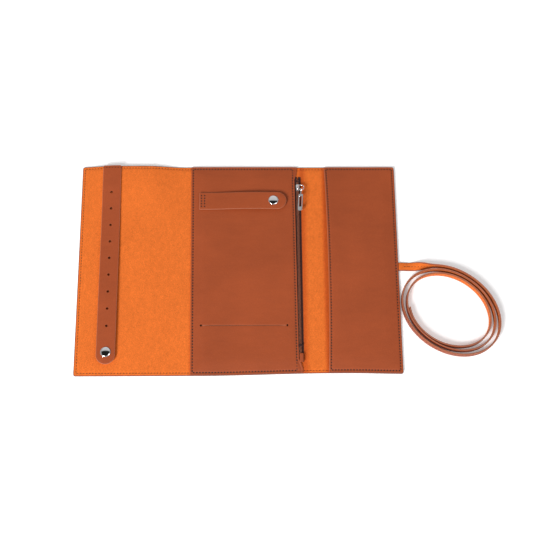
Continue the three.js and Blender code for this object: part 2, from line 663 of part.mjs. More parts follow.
function addSeams() {
  const seams = new THREE.Group();
  const top = HALF_DEPTH - SEAM_INSET;
  const onLining = LINING_TOP + GLUE_LINE;
  const onCentre = CENTRE_PANEL_TOP + GLUE_LINE;
  const onRight = RIGHT_PANEL_TOP + GLUE_LINE;
  pieceAt(seams, 'seam_left_wing', leftWingSeam(), thread(), 0, 0, onLining);
  const centre = seamLoop(CENTRE_POCKET_LEFT + SEAM_INSET, -top, CENTRE_POCKET_ZIP_EDGE - SEAM_INSET, top);
  pieceAt(seams, 'seam_centre_pocket', centre, thread(), 0, 0, onCentre);
  const right = seamLoop(RIGHT_POCKET_LEFT + SEAM_INSET, -top, HALF_WIDTH - SEAM_INSET, top);
  pieceAt(seams, 'seam_right_pocket', right, thread(), 0, 0, onRight);
  PANELS.filter(([name]) => name.endsWith('spine')).forEach(([name, x0, x1]) => {
    pieceAt(seams, `seam_${name}_top`, spineSeam(x0, x1), thread(), 0, top - THREAD_WIDTH, onLining);
    pieceAt(seams, `seam_${name}_bottom`, spineSeam(x0, x1), thread(), 0, -top, onLining);
  });
  leatherCase.add(seams);
}

addPanels();
addPockets();
addZip();
addRingStrap();
addStudStrap();
addTie();
addSeams();

export default leatherCase;
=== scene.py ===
"""Leather jewellery case, opened flat: the finished leather, suede, thread, zip and metal round the frame."""

import json
import math

import bmesh
import bpy
from mathutils import Matrix, Vector
from mathutils.kdtree import KDTree


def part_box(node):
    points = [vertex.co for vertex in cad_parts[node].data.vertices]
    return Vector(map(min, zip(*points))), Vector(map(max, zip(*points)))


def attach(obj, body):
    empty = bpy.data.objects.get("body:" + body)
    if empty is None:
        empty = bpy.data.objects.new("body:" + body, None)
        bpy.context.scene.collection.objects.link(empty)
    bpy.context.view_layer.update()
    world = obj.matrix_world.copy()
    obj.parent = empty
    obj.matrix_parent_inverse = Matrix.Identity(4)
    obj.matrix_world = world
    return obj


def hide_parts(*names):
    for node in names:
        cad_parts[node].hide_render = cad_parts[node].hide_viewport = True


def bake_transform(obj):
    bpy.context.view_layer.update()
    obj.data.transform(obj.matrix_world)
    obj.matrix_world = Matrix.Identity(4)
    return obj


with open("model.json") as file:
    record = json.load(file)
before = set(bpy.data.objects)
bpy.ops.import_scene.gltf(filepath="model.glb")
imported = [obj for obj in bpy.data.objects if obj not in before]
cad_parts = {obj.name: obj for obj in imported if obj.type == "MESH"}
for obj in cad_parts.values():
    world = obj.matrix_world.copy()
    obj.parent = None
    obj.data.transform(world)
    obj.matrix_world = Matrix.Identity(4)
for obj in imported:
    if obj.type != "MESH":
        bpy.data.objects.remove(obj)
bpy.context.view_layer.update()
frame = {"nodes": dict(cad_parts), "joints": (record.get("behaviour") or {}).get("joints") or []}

bl_info = {
    "name": "Leather Jewellery Case",
    "version": (1, 0, 0),
    "blender": (4, 5, 0),
    "location": "3D View > Sidebar > Jewellery Case",
    "description": "Builds the leather, suede, seams, zip, snaps and tie of a fold-over jewellery case",
    "category": "Object",
}

MM = 0.001
JOINTS = {joint["name"]: joint for joint in frame["joints"]}


def low(node):
    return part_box(node)[0]


def high(node):
    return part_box(node)[1]


def fold_at(joint):
    return Vector(JOINTS[joint]["pos_m"])


# ---------------------------------------------------------------- places taken from the frame

CASE_LEFT = low("outer_left_wing").x
CASE_RIGHT = high("outer_right_wing").x
CASE_TOP = high("outer_centre").y
CASE_BOTTOM = low("outer_centre").y
OUTER_TOP = high("outer_centre").z
LINING_Z = low("lining_centre").z
LINING_TOP = high("lining_centre").z
LINING_EDGE = high("lining_centre").y
POCKET_Z = low("centre_pocket_hem").z
WING_FOLD = fold_at("left_fold_outer").x
SPINE_FOLD = fold_at("left_fold").x
RIGHT_FOLD = fold_at("right_fold").x
RIGHT_WING_FOLD = fold_at("right_fold_outer").x
HALF_BEND = 5 * MM

# The case is cut for building where it stays flat: at the middle of each spine and of the centre.
LEFT_SPINE_MIDDLE = (WING_FOLD + SPINE_FOLD) / 2
CENTRE_MIDDLE = (SPINE_FOLD + RIGHT_FOLD) / 2
RIGHT_SPINE_MIDDLE = (RIGHT_FOLD + RIGHT_WING_FOLD) / 2

# name, left end, right end, the two bodies that it joins and the fold between them
SECTIONS = [
    ("left_wing", CASE_LEFT, LEFT_SPINE_MIDDLE, "left_wing", "left_spine", WING_FOLD),
    ("left_spine", LEFT_SPINE_MIDDLE, CENTRE_MIDDLE, "left_spine", "centre", SPINE_FOLD),
    ("right_spine", CENTRE_MIDDLE, RIGHT_SPINE_MIDDLE, "centre", "right_spine", RIGHT_FOLD),
    ("right_wing", RIGHT_SPINE_MIDDLE, CASE_RIGHT, "right_spine", "right_wing", RIGHT_WING_FOLD),
]


# ---------------------------------------------------------------- what a user may change


class CaseSizes(bpy.types.PropertyGroup):
    cut_step: bpy.props.FloatProperty(
        name="Mesh Step", description="Widest face of a sheet", default=5 * MM, unit="LENGTH"
    )
    edge_radius: bpy.props.FloatProperty(
        name="Edge Radius", description="Rounding of a cut leather edge", default=0.3 * MM, unit="LENGTH"
    )
    corner_radius: bpy.props.FloatProperty(
        name="Corner Radius", description="Rounding of the case's corners", default=2 * MM, unit="LENGTH"
    )
    stitch_pitch: bpy.props.FloatProperty(
        name="Stitch Pitch", description="Distance from stitch to stitch", default=3.1 * MM, unit="LENGTH"
    )
    stitch_inset: bpy.props.FloatProperty(
        name="Seam Inset", description="Distance of a seam from its edge", default=2.9 * MM, unit="LENGTH"
    )
    edge_inset: bpy.props.FloatProperty(
        name="Panel Seam Inset", description="Distance of a pocket's inner seams from its edge",
        default=2.1 * MM, unit="LENGTH"
    )
    thread_width: bpy.props.FloatProperty(
        name="Thread Width", description="Width of one stitch", default=1.5 * MM, unit="LENGTH"
    )
    groove_depth: bpy.props.FloatProperty(
        name="Seam Depth", description="How far a seam pulls the leather in", default=0.42 * MM, unit="LENGTH"
    )
    wing_lift: bpy.props.FloatProperty(
        name="Wing Lift", description="How far the left wing's far edge bows up",
        default=4.8 * MM, unit="LENGTH"
    )
    far_shrink: bpy.props.FloatProperty(
        name="Far Edge Shrink", description="How far sewing drew the far edge in",
        default=0.95 * MM, unit="LENGTH"
    )
    edge_wave: bpy.props.FloatProperty(
        name="Edge Wave", description="How far the near edge bows in", default=2.3 * MM, unit="LENGTH"
    )


class CaseColours(bpy.types.PropertyGroup):
    leather: bpy.props.FloatVectorProperty(
        name="Leather", description="Grain side of the leather", subtype="COLOR", size=3,
        default=(0.315, 0.061, 0.0165)
    )
    cut_edge: bpy.props.FloatVectorProperty(
        name="Cut Edge", description="Burnished leather edge", subtype="COLOR", size=3,
        default=(0.42, 0.150, 0.082)
    )
    suede: bpy.props.FloatVectorProperty(
        name="Suede", description="Nap of the lining", subtype="COLOR", size=3, default=(0.68, 0.146, 0.0225)
    )
    thread: bpy.props.FloatVectorProperty(
        name="Thread", description="Sewing thread", subtype="COLOR", size=3, default=(0.016, 0.005, 0.003)
    )
    tape: bpy.props.FloatVectorProperty(
        name="Zip Tape", description="Woven zip tape", subtype="COLOR", size=3, default=(0.040, 0.012, 0.010)
    )
    coil: bpy.props.FloatVectorProperty(
        name="Zip Coil", description="Nylon zip teeth", subtype="COLOR", size=3, default=(0.20, 0.068, 0.036)
    )
    metal: bpy.props.FloatVectorProperty(
        name="Metal", description="Polished nickel", subtype="COLOR", size=3, default=(0.86, 0.86, 0.87)
    )


def sizes():
    return bpy.context.scene.case_sizes


def colours():
    return bpy.context.scene.case_colours


# ---------------------------------------------------------------- how the case lies


def smooth(share):
    share = min(max(share, 0.0), 1.0)
    return share * share * (3 - 2 * share)


def lift_at(x, y):
    """The left wing's far edge bows up a little, as leather that was folded does."""
    along = smooth((x + 176 * MM) / (46 * MM)) * (1 - smooth((x + 98 * MM) / (40 * MM)))
    return sizes().wing_lift * along * smooth((y - 38 * MM) / (77 * MM))


def wave_at(x, y):
    """The near edge bows in towards the right, so the case isn't a perfect rectangle."""
    along = smooth((x + 40 * MM) / (135 * MM)) - 0.42 * smooth((x - 115 * MM) / (55 * MM))
    return sizes().edge_wave * along * smooth((-y - 68 * MM) / (47 * MM))


def lie(point):
    """Where a point of the flat pattern lies on the real case, drawn in a little along its far edge."""
    x, y, z = point
    drawn_in = sizes().far_shrink * smooth((y - 55 * MM) / (60 * MM))
    return Vector((x, y + wave_at(x, y) - drawn_in, z + lift_at(x, y)))


# ---------------------------------------------------------------- materials


class Nodes:
    """The node tree of a material or a world, with short calls for the nodes that the finishes share."""

    def __init__(self, name, owner=None):
        self.material = owner or bpy.data.materials.new(name)
        self.material.use_nodes = True
        self.tree = self.material.node_tree
        self.shader = self.tree.nodes.get("Principled BSDF")
        self.place = self.add("ShaderNodeTexCoord").outputs["Object"]

    def add(self, kind, inputs=None, **settings):
        node = self.tree.nodes.new(kind)
        for key, value in settings.items():
            setattr(node, key, value)
        for key, value in (inputs or {}).items():
            if isinstance(value, bpy.types.NodeSocket):
                self.tree.links.new(value, node.inputs[key])
            else:
                node.inputs[key].default_value = value
        return node

    def noise(self, scale, detail=3.0, rough=0.55, place=None):
        inputs = {"Vector": place or self.place, "Scale": scale, "Detail": detail, "Roughness": rough}
        return self.add("ShaderNodeTexNoise", inputs).outputs["Fac"]

    def cells(self, scale, place=None):
        inputs = {"Vector": place or self.place, "Scale": scale, "Smoothness": 0.6}
        return self.add("ShaderNodeTexVoronoi", inputs, feature="SMOOTH_F1").outputs["Distance"]

    def stretched(self, stretch, turn=0.0):
        inputs = {"Vector": self.place, "Scale": stretch, "Rotation": (0.0, 0.0, turn)}
        return self.add("ShaderNodeMapping", inputs).outputs["Vector"]

    def spread(self, value, low_end, high_end, low_in=0.3, high_in=0.7):
        inputs = {"Value": value, "From Min": low_in, "From Max": high_in}
        inputs.update({"To Min": low_end, "To Max": high_end})
        return self.add("ShaderNodeMapRange", inputs).outputs["Result"]

    def shade(self, colour, value, low_end, high_end):
        """The colour, made darker and lighter by a pattern."""
        amount = self.spread(value, low_end, high_end)
        return self.add("ShaderNodeVectorMath", {0: colour, 1: amount}, operation="MULTIPLY").outputs[0]

    def reckon(self, operation, first, second=0.0):
        return self.add("ShaderNodeMath", {0: first, 1: second}, operation=operation).outputs[0]

    def total(self, first, second, share):
        return self.reckon("ADD", first, self.reckon("MULTIPLY", second, share))

    def bump(self, height, distance, strength=1.0, under=None):
        inputs = {"Height": height, "Distance": distance, "Strength": strength}
        if under:
            inputs["Normal"] = under
        return self.add("ShaderNodeBump", inputs).outputs["Normal"]

    def finish(self, colour=None, roughness=None, normal=None, **fixed):
        links = {"Base Color": colour, "Roughness": roughness, "Normal": normal}
        for key, value in links.items():
            if isinstance(value, bpy.types.NodeSocket):
                self.tree.links.new(value, self.shader.inputs[key])
            elif isinstance(value, (tuple, list)) or hasattr(value, "r"):
                self.shader.inputs[key].default_value = (*value, 1.0)
            elif value is not None:
                self.shader.inputs[key].default_value = value
        for key, value in fixed.items():
            self.shader.inputs[key.replace("_", " ")].default_value = value
        return self.material


def kept(maker):
    """Makes each material once."""
    made = {}

    def get():
        if maker.__name__ not in made:
            made[maker.__name__] = maker()
        return made[maker.__name__]

    return get


@kept
def smooth_leather():
    """Tan calf leather: fine pebbled grain, slow tone changes and a semi-matt finish."""
    n = Nodes("smooth_leather")
    tone = n.shade(tuple(colours().leather), n.noise(14.0, 4.0), 0.90, 1.08)
    tone = n.shade(tone, n.noise(120.0, 3.0, 0.6, n.stretched((0.4, 1.6, 1.0))), 0.96, 1.03)
    tone = n.shade(tone, n.cells(1500.0), 0.93, 1.05)
    grain = n.total(n.cells(1300.0), n.noise(420.0, 4.0, 0.65), 0.8)
    pull = n.bump(n.noise(60.0, 3.0, 0.5, n.stretched((0.6, 1.5, 1.0))), 0.35 * MM, 0.35)
    normal = n.bump(grain, 0.07 * MM, 0.55, pull)
    roughness = n.spread(n.noise(260.0, 3.0), 0.46, 0.60)
    return n.finish(tone, roughness, normal, Specular_IOR_Level=0.24)


@kept
def cut_leather():
    """Burnished edge of the leather: lighter, fibrous, a little waxy."""
    n = Nodes("cut_leather_edge")
    fibres = n.noise(900.0, 4.0, 0.7, n.stretched((0.3, 0.3, 3.0)))
    tone = n.shade(tuple(colours().cut_edge), fibres, 0.78, 1.12)
    tone = n.shade(tone, n.noise(60.0, 2.0), 0.90, 1.08)
    normal = n.bump(n.noise(1500.0, 3.0, 0.7, n.stretched((0.3, 0.3, 2.5))), 0.08 * MM, 0.5)
    return n.finish(tone, 0.5, normal, Specular_IOR_Level=0.3)


@kept
def painted_edge():
    """The case's outer edge, sealed with dark brown edge paint."""
    n = Nodes("painted_edge")
    tone = n.shade((0.135, 0.040, 0.020), n.noise(300.0, 3.0), 0.85, 1.15)
    return n.finish(tone, 0.5, n.bump(n.noise(900.0), 0.05 * MM, 0.4), Specular_IOR_Level=0.3)


def panel_materials():
    return [smooth_leather(), cut_leather(), hole_shade_leather(), painted_edge()]


@kept
def hole_shade_leather():
    """The wall of a punched hole, near-black: painted shade inside the hole."""
    n = Nodes("hole_shade_leather")
    # Painted shade: near-black walls stand in for the shade inside each hole.
    tone = n.shade((0.016, 0.006, 0.004), n.noise(900.0), 0.7, 1.4)
    return n.finish(tone, 0.8, Specular_IOR_Level=0.1)


def suede(name, painted_shade_bands=()):
    """Orange suede: short nap brushed in patches, matt, with painted shade, darker and redder, along the
    bands that it is given.
    """
    n = Nodes(name)
    tone = n.shade(tuple(colours().suede), n.noise(22.0, 5.0, 0.6), 0.96, 1.03)
    across = n.add("ShaderNodeSeparateXYZ", {0: n.place}).outputs["X"]
    # Each band is painted shade: the suede darkens towards the band's middle line, its red least.
    for place, width, depth in painted_shade_bands:
        away = n.reckon("ABSOLUTE", n.reckon("SUBTRACT", across, place))
        inputs = {"Value": away, "From Min": 0.0, "From Max": width, "To Min": depth, "To Max": 1.0}
        amount = n.add("ShaderNodeMapRange", inputs, interpolation_type="SMOOTHSTEP").outputs["Result"]
        red = n.reckon("POWER", amount, 0.55)
        tint = n.add("ShaderNodeCombineXYZ", {0: red, 1: amount, 2: amount}).outputs["Vector"]
        tone = n.add("ShaderNodeVectorMath", {0: tone, 1: tint}, operation="MULTIPLY").outputs["Vector"]
    brushed = n.noise(300.0, 5.0, 0.75, n.stretched((1.0, 0.55, 1.0), 0.5))
    tone = n.shade(tone, brushed, 0.90, 1.08)
    tone = n.shade(tone, n.noise(850.0, 3.0, 0.7), 0.90, 1.09)
    tone = n.shade(tone, n.noise(1700.0, 2.0, 0.6), 0.84, 1.14)
    fibre = n.total(n.noise(2600.0, 4.0, 0.8), brushed, 0.7)
    normal = n.bump(fibre, 0.22 * MM, 0.6)
    return n.finish(tone, 0.94, normal, Specular_IOR_Level=0.12, Sheen_Weight=0.15, Sheen_Roughness=0.45,
                    Sheen_Tint=(1.0, 0.62, 0.38, 1.0))


@kept
def suede_nap():
    return suede("suede_nap")


@kept
def lining_nap_with_shade():
    """The lining's suede, with painted shade beside the zip, the right pocket's mouth and the centre panel's
    edge.
    """
    # Painted shade bands: where across, how wide, and how dark at the middle.
    places = ((ZIP_X + 3 * MM, 6.5 * MM, 0.60), (RIGHT_POCKET_LEFT, 5 * MM, 0.55), (CENTRE_LEFT, 3 * MM, 0.8))
    return suede("lining_nap_with_shade", places)


@kept
def sewing_thread():
    """Twisted brown thread, a little glossy."""
    n = Nodes("sewing_thread")
    tone = n.shade(tuple(colours().thread), n.noise(1400.0, 3.0, 0.6), 0.75, 1.30)
    twist = n.add("ShaderNodeTexWave", {"Vector": n.place, "Scale": 900.0, "Distortion": 1.2},
                  wave_type="BANDS", bands_direction="DIAGONAL").outputs["Fac"]
    return n.finish(tone, 0.55, n.bump(twist, 0.08 * MM, 0.5), Specular_IOR_Level=0.4)


def woven(name, colour, threads):
    """Plain weave of warp and weft threads, so many to the metre."""
    n = Nodes(name)
    bands = [
        n.add("ShaderNodeTexWave", {"Vector": n.place, "Scale": threads / 20 * 6.3, "Distortion": 0.6},
              wave_type="BANDS", bands_direction=way).outputs["Fac"]
        for way in ("X", "Y")
    ]
    weave = n.reckon("MULTIPLY", *bands)
    tone = n.shade(tuple(colour), weave, 0.85, 1.15)
    tone = n.shade(tone, n.noise(90.0, 3.0), 0.88, 1.12)
    return n.finish(tone, 0.88, n.bump(weave, 0.15 * MM, 0.6), Specular_IOR_Level=0.25, Sheen_Weight=0.15)


@kept
def zip_tape_cloth():
    return woven("zip_tape_cloth", colours().tape, 900.0)


@kept
def divider_cloth():
    return woven("divider_cloth", (0.12, 0.045, 0.024), 1100.0)


@kept
def nylon_coil():
    """Dyed nylon: satin, slightly uneven in colour from tooth to tooth."""
    n = Nodes("nylon_coil")
    tone = n.shade(tuple(colours().coil), n.noise(400.0, 3.0), 0.78, 1.20)
    return n.finish(tone, n.spread(n.noise(700.0), 0.36, 0.5), n.bump(n.noise(2500.0), 0.03 * MM, 0.4),
                    Specular_IOR_Level=0.5)


@kept
def polished_nickel():
    """Mirror-polished nickel with the faint hazing that handling leaves."""
    n = Nodes("polished_nickel")
    tone = n.shade(tuple(colours().metal), n.noise(180.0, 2.0), 0.97, 1.02)
    haze = n.spread(n.noise(500.0, 5.0, 0.7), 0.04, 0.11)
    scuffs = n.noise(3000.0, 3.0, 0.7, n.stretched((1.0, 0.1, 1.0), 0.6))
    return n.finish(tone, haze, n.bump(scuffs, 0.01 * MM, 0.12), Metallic=1.0)


# ---------------------------------------------------------------- mesh helpers


def rectangle(x0, y0, x1, y1):
    """A mesh of one flat face at height zero."""
    bm = bmesh.new()
    place = Matrix.Translation(((x0 + x1) / 2, (y0 + y1) / 2, 0)) @ Matrix.Diagonal((x1 - x0, y1 - y0, 1, 1))
    bmesh.ops.create_grid(bm, x_segments=1, y_segments=1, size=0.5, matrix=place)
    return bm


def round_corners(bm, chosen, radius, segments=4):
    corners = [v for v in bm.verts if chosen(v.co)]
    bmesh.ops.bevel(bm, geom=corners, offset=radius, segments=segments, profile=0.5, affect="VERTICES",
                    material=-1)


def cut_lines(bm, axis, places):
    """Cuts the mesh along planes square to an axis, so that it can bend there."""
    normal = Vector((axis == 0, axis == 1, 0))
    for place in places:
        geometry = bm.verts[:] + bm.edges[:] + bm.faces[:]
        bmesh.ops.bisect_plane(bm, geom=geometry, dist=1e-7, plane_co=normal * place, plane_no=normal)


def steps(start, end, widest):
    """Places between two ends, no further apart than the widest step."""
    count = max(1, math.ceil(abs(end - start) / widest))
    return [start + (end - start) * i / count for i in range(1, count)]


def thicken(bm, thickness):
    """Gives flat faces a thickness, upwards."""
    made = bmesh.ops.extrude_face_region(bm, geom=bm.faces[:])["geom"]
    upper = [item for item in made if isinstance(item, bmesh.types.BMVert)]
    bmesh.ops.translate(bm, verts=upper, vec=(0, 0, thickness))
    bmesh.ops.recalc_face_normals(bm, faces=bm.faces[:])


def soften_rim(bm, radius, left_sharp=(), segments=2):
    """Rounds the sharp edges, apart from those that lie where two sections meet."""

    def on_section(edge):
        return any(all(abs(v.co.x - x) < 1e-6 for v in edge.verts) for x in left_sharp)

    rim = [e for e in bm.edges if len(e.link_faces) == 2 and e.calc_face_angle() > 1.0 and not on_section(e)]
    upright = [e for e in rim if abs(e.verts[0].co.z - e.verts[1].co.z) > 1e-6]
    chosen = [e for e in rim if e not in upright]
    bmesh.ops.bevel(bm, geom=chosen, offset=radius, segments=segments, profile=0.5, affect="EDGES",
                    clamp_overlap=True, material=-1)


def mark_rim(bm, holes=(), painted=False):
    """Rim faces take a second material, those in punched holes a third (painted shade), outer edges with edge
    paint a fourth.
    """
    for face in bm.faces:
        if abs(face.normal.z) < 0.97:
            place = face.calc_center_median().xy
            punched = any((place - Vector(hole[:2])).length < 1.3 * hole[2] for hole in holes)
            outer = painted and from_edge(*place) < 1.2 * MM
            face.material_index = 2 if punched else 3 if outer else 1


def punch(bm, x, y, radius, segments=16):
    """A round hole through a flat sheet."""
    half = radius * 1.9
    cut_lines(bm, 0, (x - half, x + half))
    cut_lines(bm, 1, (y - half, y + half))
    square = min(bm.faces, key=lambda f: (f.calc_center_median() - Vector((x, y, 0))).length)
    edges = square.edges[:]
    bmesh.ops.delete(bm, geom=[square], context="FACES_ONLY")
    bmesh.ops.subdivide_edges(bm, edges=edges, cuts=segments // 4 - 1)
    centre = Vector((x, y, 0))
    near = [v for v in bm.verts if (v.co - centre).length < half * 1.5]
    outer = {e for v in near for e in v.link_edges if e.is_boundary and e.other_vert(v) in near}
    made = bmesh.ops.extrude_edge_only(bm, edges=list(outer))["geom"]
    for v in made:
        if isinstance(v, bmesh.types.BMVert):
            v.co = centre + (v.co - centre).normalized() * radius


def sweep(bm, section, stations):
    """Carries an open loop of vertices along a line of matrices and closes both ends."""
    loop = [e for e in section if isinstance(e, bmesh.types.BMEdge)]
    first = loop
    here = stations[0]
    for v in {v for e in loop for v in e.verts}:
        v.co = here @ v.co
    for there in stations[1:]:
        made = bmesh.ops.extrude_edge_only(bm, edges=loop)["geom"]
        change = there @ here.inverted()
        bmesh.ops.transform(bm, verts=[v for v in made if isinstance(v, bmesh.types.BMVert)], matrix=change)
        loop = [e for e in made if isinstance(e, bmesh.types.BMEdge)]
        here = there
    bmesh.ops.edgeloop_fill(bm, edges=first)
    bmesh.ops.edgeloop_fill(bm, edges=loop)
    bmesh.ops.recalc_face_normals(bm, faces=bm.faces[:])
    return loop


def flat_section(bm, width, thickness, corner):
    """The outline of a strap's section: width along X, thickness along Y."""
    place = Matrix.Diagonal((width, thickness, 1, 1))
    verts = bmesh.ops.create_grid(bm, x_segments=1, y_segments=1, size=0.5, matrix=place)["verts"]
    bmesh.ops.bevel(bm, geom=verts, offset=corner, segments=2, profile=0.5, affect="VERTICES", material=-1)
    edges = [e for e in bm.edges if e.is_boundary]
    bmesh.ops.delete(bm, geom=bm.faces[:], context="FACES_ONLY")
    return edges


def turned(bm, profile, place, segments=40):
    """Turns a profile of (radius, height) points about a vertical axis."""
    before = set(bm.verts)
    verts = [bm.verts.new((radius, 0, height)) for radius, height in profile]
    edges = [bm.edges.new(pair) for pair in zip(verts, verts[1:])]
    bmesh.ops.spin(bm, geom=verts + edges, cent=(0, 0, 0), axis=(0, 0, 1), angle=2 * math.pi, steps=segments,
                   use_merge=True)
    new = [v for v in bm.verts if v not in before]
    bmesh.ops.remove_doubles(bm, verts=new, dist=1e-7)
    new = [v for v in bm.verts if v not in before]
    bmesh.ops.translate(bm, verts=new, vec=place)
    bmesh.ops.recalc_face_normals(bm, faces=bm.faces[:])


def reshape(bm, rule):
    for v in bm.verts:
        v.co = rule(v.co)


def make_piece(name, bm, materials, sharp=0.7):
    """Turns a mesh into an object with its materials."""
    for face in bm.faces:
        face.smooth = True
    for edge in bm.edges:
        if len(edge.link_faces) == 2 and edge.calc_face_angle() > sharp:
            edge.smooth = False
    mesh = bpy.data.meshes.new(name)
    bm.to_mesh(mesh)
    bm.free()
    for material in materials:
        mesh.materials.append(material)
    piece = bpy.data.objects.new(name, mesh)
    bpy.context.scene.collection.objects.link(piece)
    return piece


def settle(piece, slot, nodes, body=None, bend=None):
    """Parents a piece to its body when one is given, else bakes its place into its mesh, and hides the CAD
    nodes that it stands for. The slot argument is not used.
    """
    if body:
        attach(piece, body)
    else:
        first, second, start, end = bend
        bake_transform(piece)
        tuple(start)
        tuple(end)
    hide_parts(*nodes)


# ---------------------------------------------------------------- cover and lining


def section_bend(section):
    """The stretch over which a section turns about its fold."""
    _, _, _, first, second, fold = section
    return first, second, (fold - HALF_BEND, 0, 0), (fold + HALF_BEND, 0, 0)


def section_cuts(x0, x1, fold):
    """Cuts across a section: even ones, and close ones where it bends."""
    step = sizes().cut_step
    bend = steps(fold - 1.2 * HALF_BEND, fold + 1.2 * HALF_BEND, HALF_BEND / 6)
    return steps(x0, x1, step) + bend


def seam_cuts(edge, inward, inset=None):
    """Cuts beside a seam, so that it can sink in a narrow groove."""
    inset = inset or sizes().stitch_inset
    return [edge + inward * (inset + side * MM) for side in (-0.9, -0.45, 0, 0.45, 0.9)]


def section_sheet(section, inset, thickness, two_finishes=False):
    """One section of the cover or the lining, flat, with rounded outer corners."""
    name, x0, x1, _, _, fold = section
    left = x0 + inset if x0 == CASE_LEFT else x0
    right = x1 - inset if x1 == CASE_RIGHT else x1
    top = CASE_TOP - inset
    bm = rectangle(left, -top, right, top)
    ends = {"left_wing": left, "right_wing": right}
    if name in ends:
        round_corners(bm, lambda co: abs(co.x - ends[name]) < 1e-6, sizes().corner_radius)
    thicken(bm, thickness)
    inner = [x for x in (x0, x1) if x not in (CASE_LEFT, CASE_RIGHT)]
    soften_rim(bm, min(sizes().edge_radius, thickness * 0.45), inner)
    if two_finishes:
        mark_rim(bm)
    cut_lines(bm, 0, section_cuts(left, right, fold))
    cut_lines(bm, 1, steps(-top, top, sizes().cut_step))
    cut_lines(bm, 1, seam_cuts(CASE_TOP, -1) + seam_cuts(CASE_BOTTOM, 1))
    if name == "left_wing":
        cut_lines(bm, 0, seam_cuts(CASE_LEFT, 1))
    if name == "right_wing":
        cut_lines(bm, 0, seam_cuts(CASE_RIGHT, -1))
    return bm


def from_edge(x, y):
    """Distance from the case's own edge."""
    return min(x - CASE_LEFT, CASE_RIGHT - x, CASE_TOP - y, y - CASE_BOTTOM)


def groove(distance, inset=None):
    """How far a seam pulls the surface in at a distance from the edge."""
    away = (distance - (inset or sizes().stitch_inset)) / (0.6 * MM)
    return sizes().groove_depth * math.exp(-away * away)


def panel_groove(open_edge, outer_edge):
    """The seams of a pocket panel: close to its inner edges, wider in along the case's edge."""
    return max(groove(open_edge, sizes().edge_inset), groove(outer_edge))


def build_cover():
    for section in SECTIONS:
        name, _, _, first, second, _ = section
        bm = section_sheet(section, 0.0, OUTER_TOP, two_finishes=True)

        def on_table(co):
            sunk = groove(from_edge(co.x, co.y)) if co.z < OUTER_TOP / 2 else 0.0
            return lie((co.x, co.y, co.z + sunk))

        reshape(bm, on_table)
        cover = make_piece(f"cover_{name}", bm, [smooth_leather(), painted_edge()])
        settle(cover, "leather", [f"outer_{first}", f"outer_{second}"], bend=section_bend(section))


def build_lining():
    inset = CASE_TOP - LINING_EDGE + 0.5 * MM
    for section in SECTIONS:
        name, x0, x1, first, second, _ = section
        bm = section_sheet(section, inset, LINING_TOP - LINING_Z)

        def on_cover(co):
            upper = co.z > (LINING_TOP - LINING_Z) / 2
            sunk = 0.8 * groove(from_edge(co.x, co.y)) if upper else 0.0
            return lie((co.x, co.y, LINING_Z + co.z - sunk))

        reshape(bm, on_cover)
        lining = make_piece(f"lining_{name}_suede", bm, [lining_nap_with_shade()])
        settle(lining, "suede", [f"lining_{first}", f"lining_{second}"], bend=section_bend(section))


# ---------------------------------------------------------------- pockets

CENTRE_LEFT = low("centre_pocket").x
CENTRE_RIGHT = high("centre_pocket").x
PANEL_TOP = high("centre_pocket").y
POCKET_LEATHER = 1.2 * MM
CENTRE_HOLLOW = high("centre_pocket").z - POCKET_Z - POCKET_LEATHER
RIGHT_HOLLOW = high("right_pocket").z - POCKET_Z - POCKET_LEATHER
RIGHT_POCKET_LEFT = low("right_pocket").x
RIGHT_POCKET_RIGHT = high("right_pocket").x
ZIP_MOUTH_DEPTH = 2.9 * MM
ZIP_MOUTH_TOP = 102 * MM
SLIT_LEFT = -39 * MM
SLIT_RIGHT = 51.5 * MM
SLIT_Y = -63 * MM
SLIT_HALF = 0.2 * MM
SLIT_HOLE = 1.0 * MM
# The zip is sewn in a little closer to the centre than the frame has it.
ZIP_DRIFT = -1.6 * MM
MOUTH_BOW = 2.1 * MM


def panel_rise(distance):
    """A sewn panel lies flat at its seam and fills out inside it."""
    return smooth((distance - 2.5 * MM) / (13 * MM))


def mouth_shift(x, y):
    """The centre panel's free edge steps in along the zip."""
    open_here = 1 - smooth((abs(y) - ZIP_MOUTH_TOP + 2 * MM) / (8 * MM))
    across = smooth((x - 40 * MM) / (CENTRE_RIGHT - 40 * MM))
    lean = (1.15 + 0.85 * y / PANEL_TOP) * MM
    corner = (0.65 + 1.45 * y / PANEL_TOP) * MM
    left_edge = -(0.45 + 0.85 * y / PANEL_TOP) * MM * smooth((-x + 5 * MM) / (55 * MM))
    stepped = (ZIP_MOUTH_DEPTH + lean) * open_here + corner * (1 - open_here)
    return -stepped * across + left_edge


def centre_height(x, y):
    sewn = min(x - CENTRE_LEFT, PANEL_TOP - abs(y))
    return CENTRE_HOLLOW * panel_rise(sewn)


def centre_groove(x, y):
    """The seams of the centre panel, the one beside the zip included."""
    left = x - CENTRE_LEFT - mouth_shift(CENTRE_LEFT, y)
    right = CENTRE_RIGHT + mouth_shift(CENTRE_RIGHT, y) - x
    return panel_groove(min(left, right), CASE_TOP - abs(y))


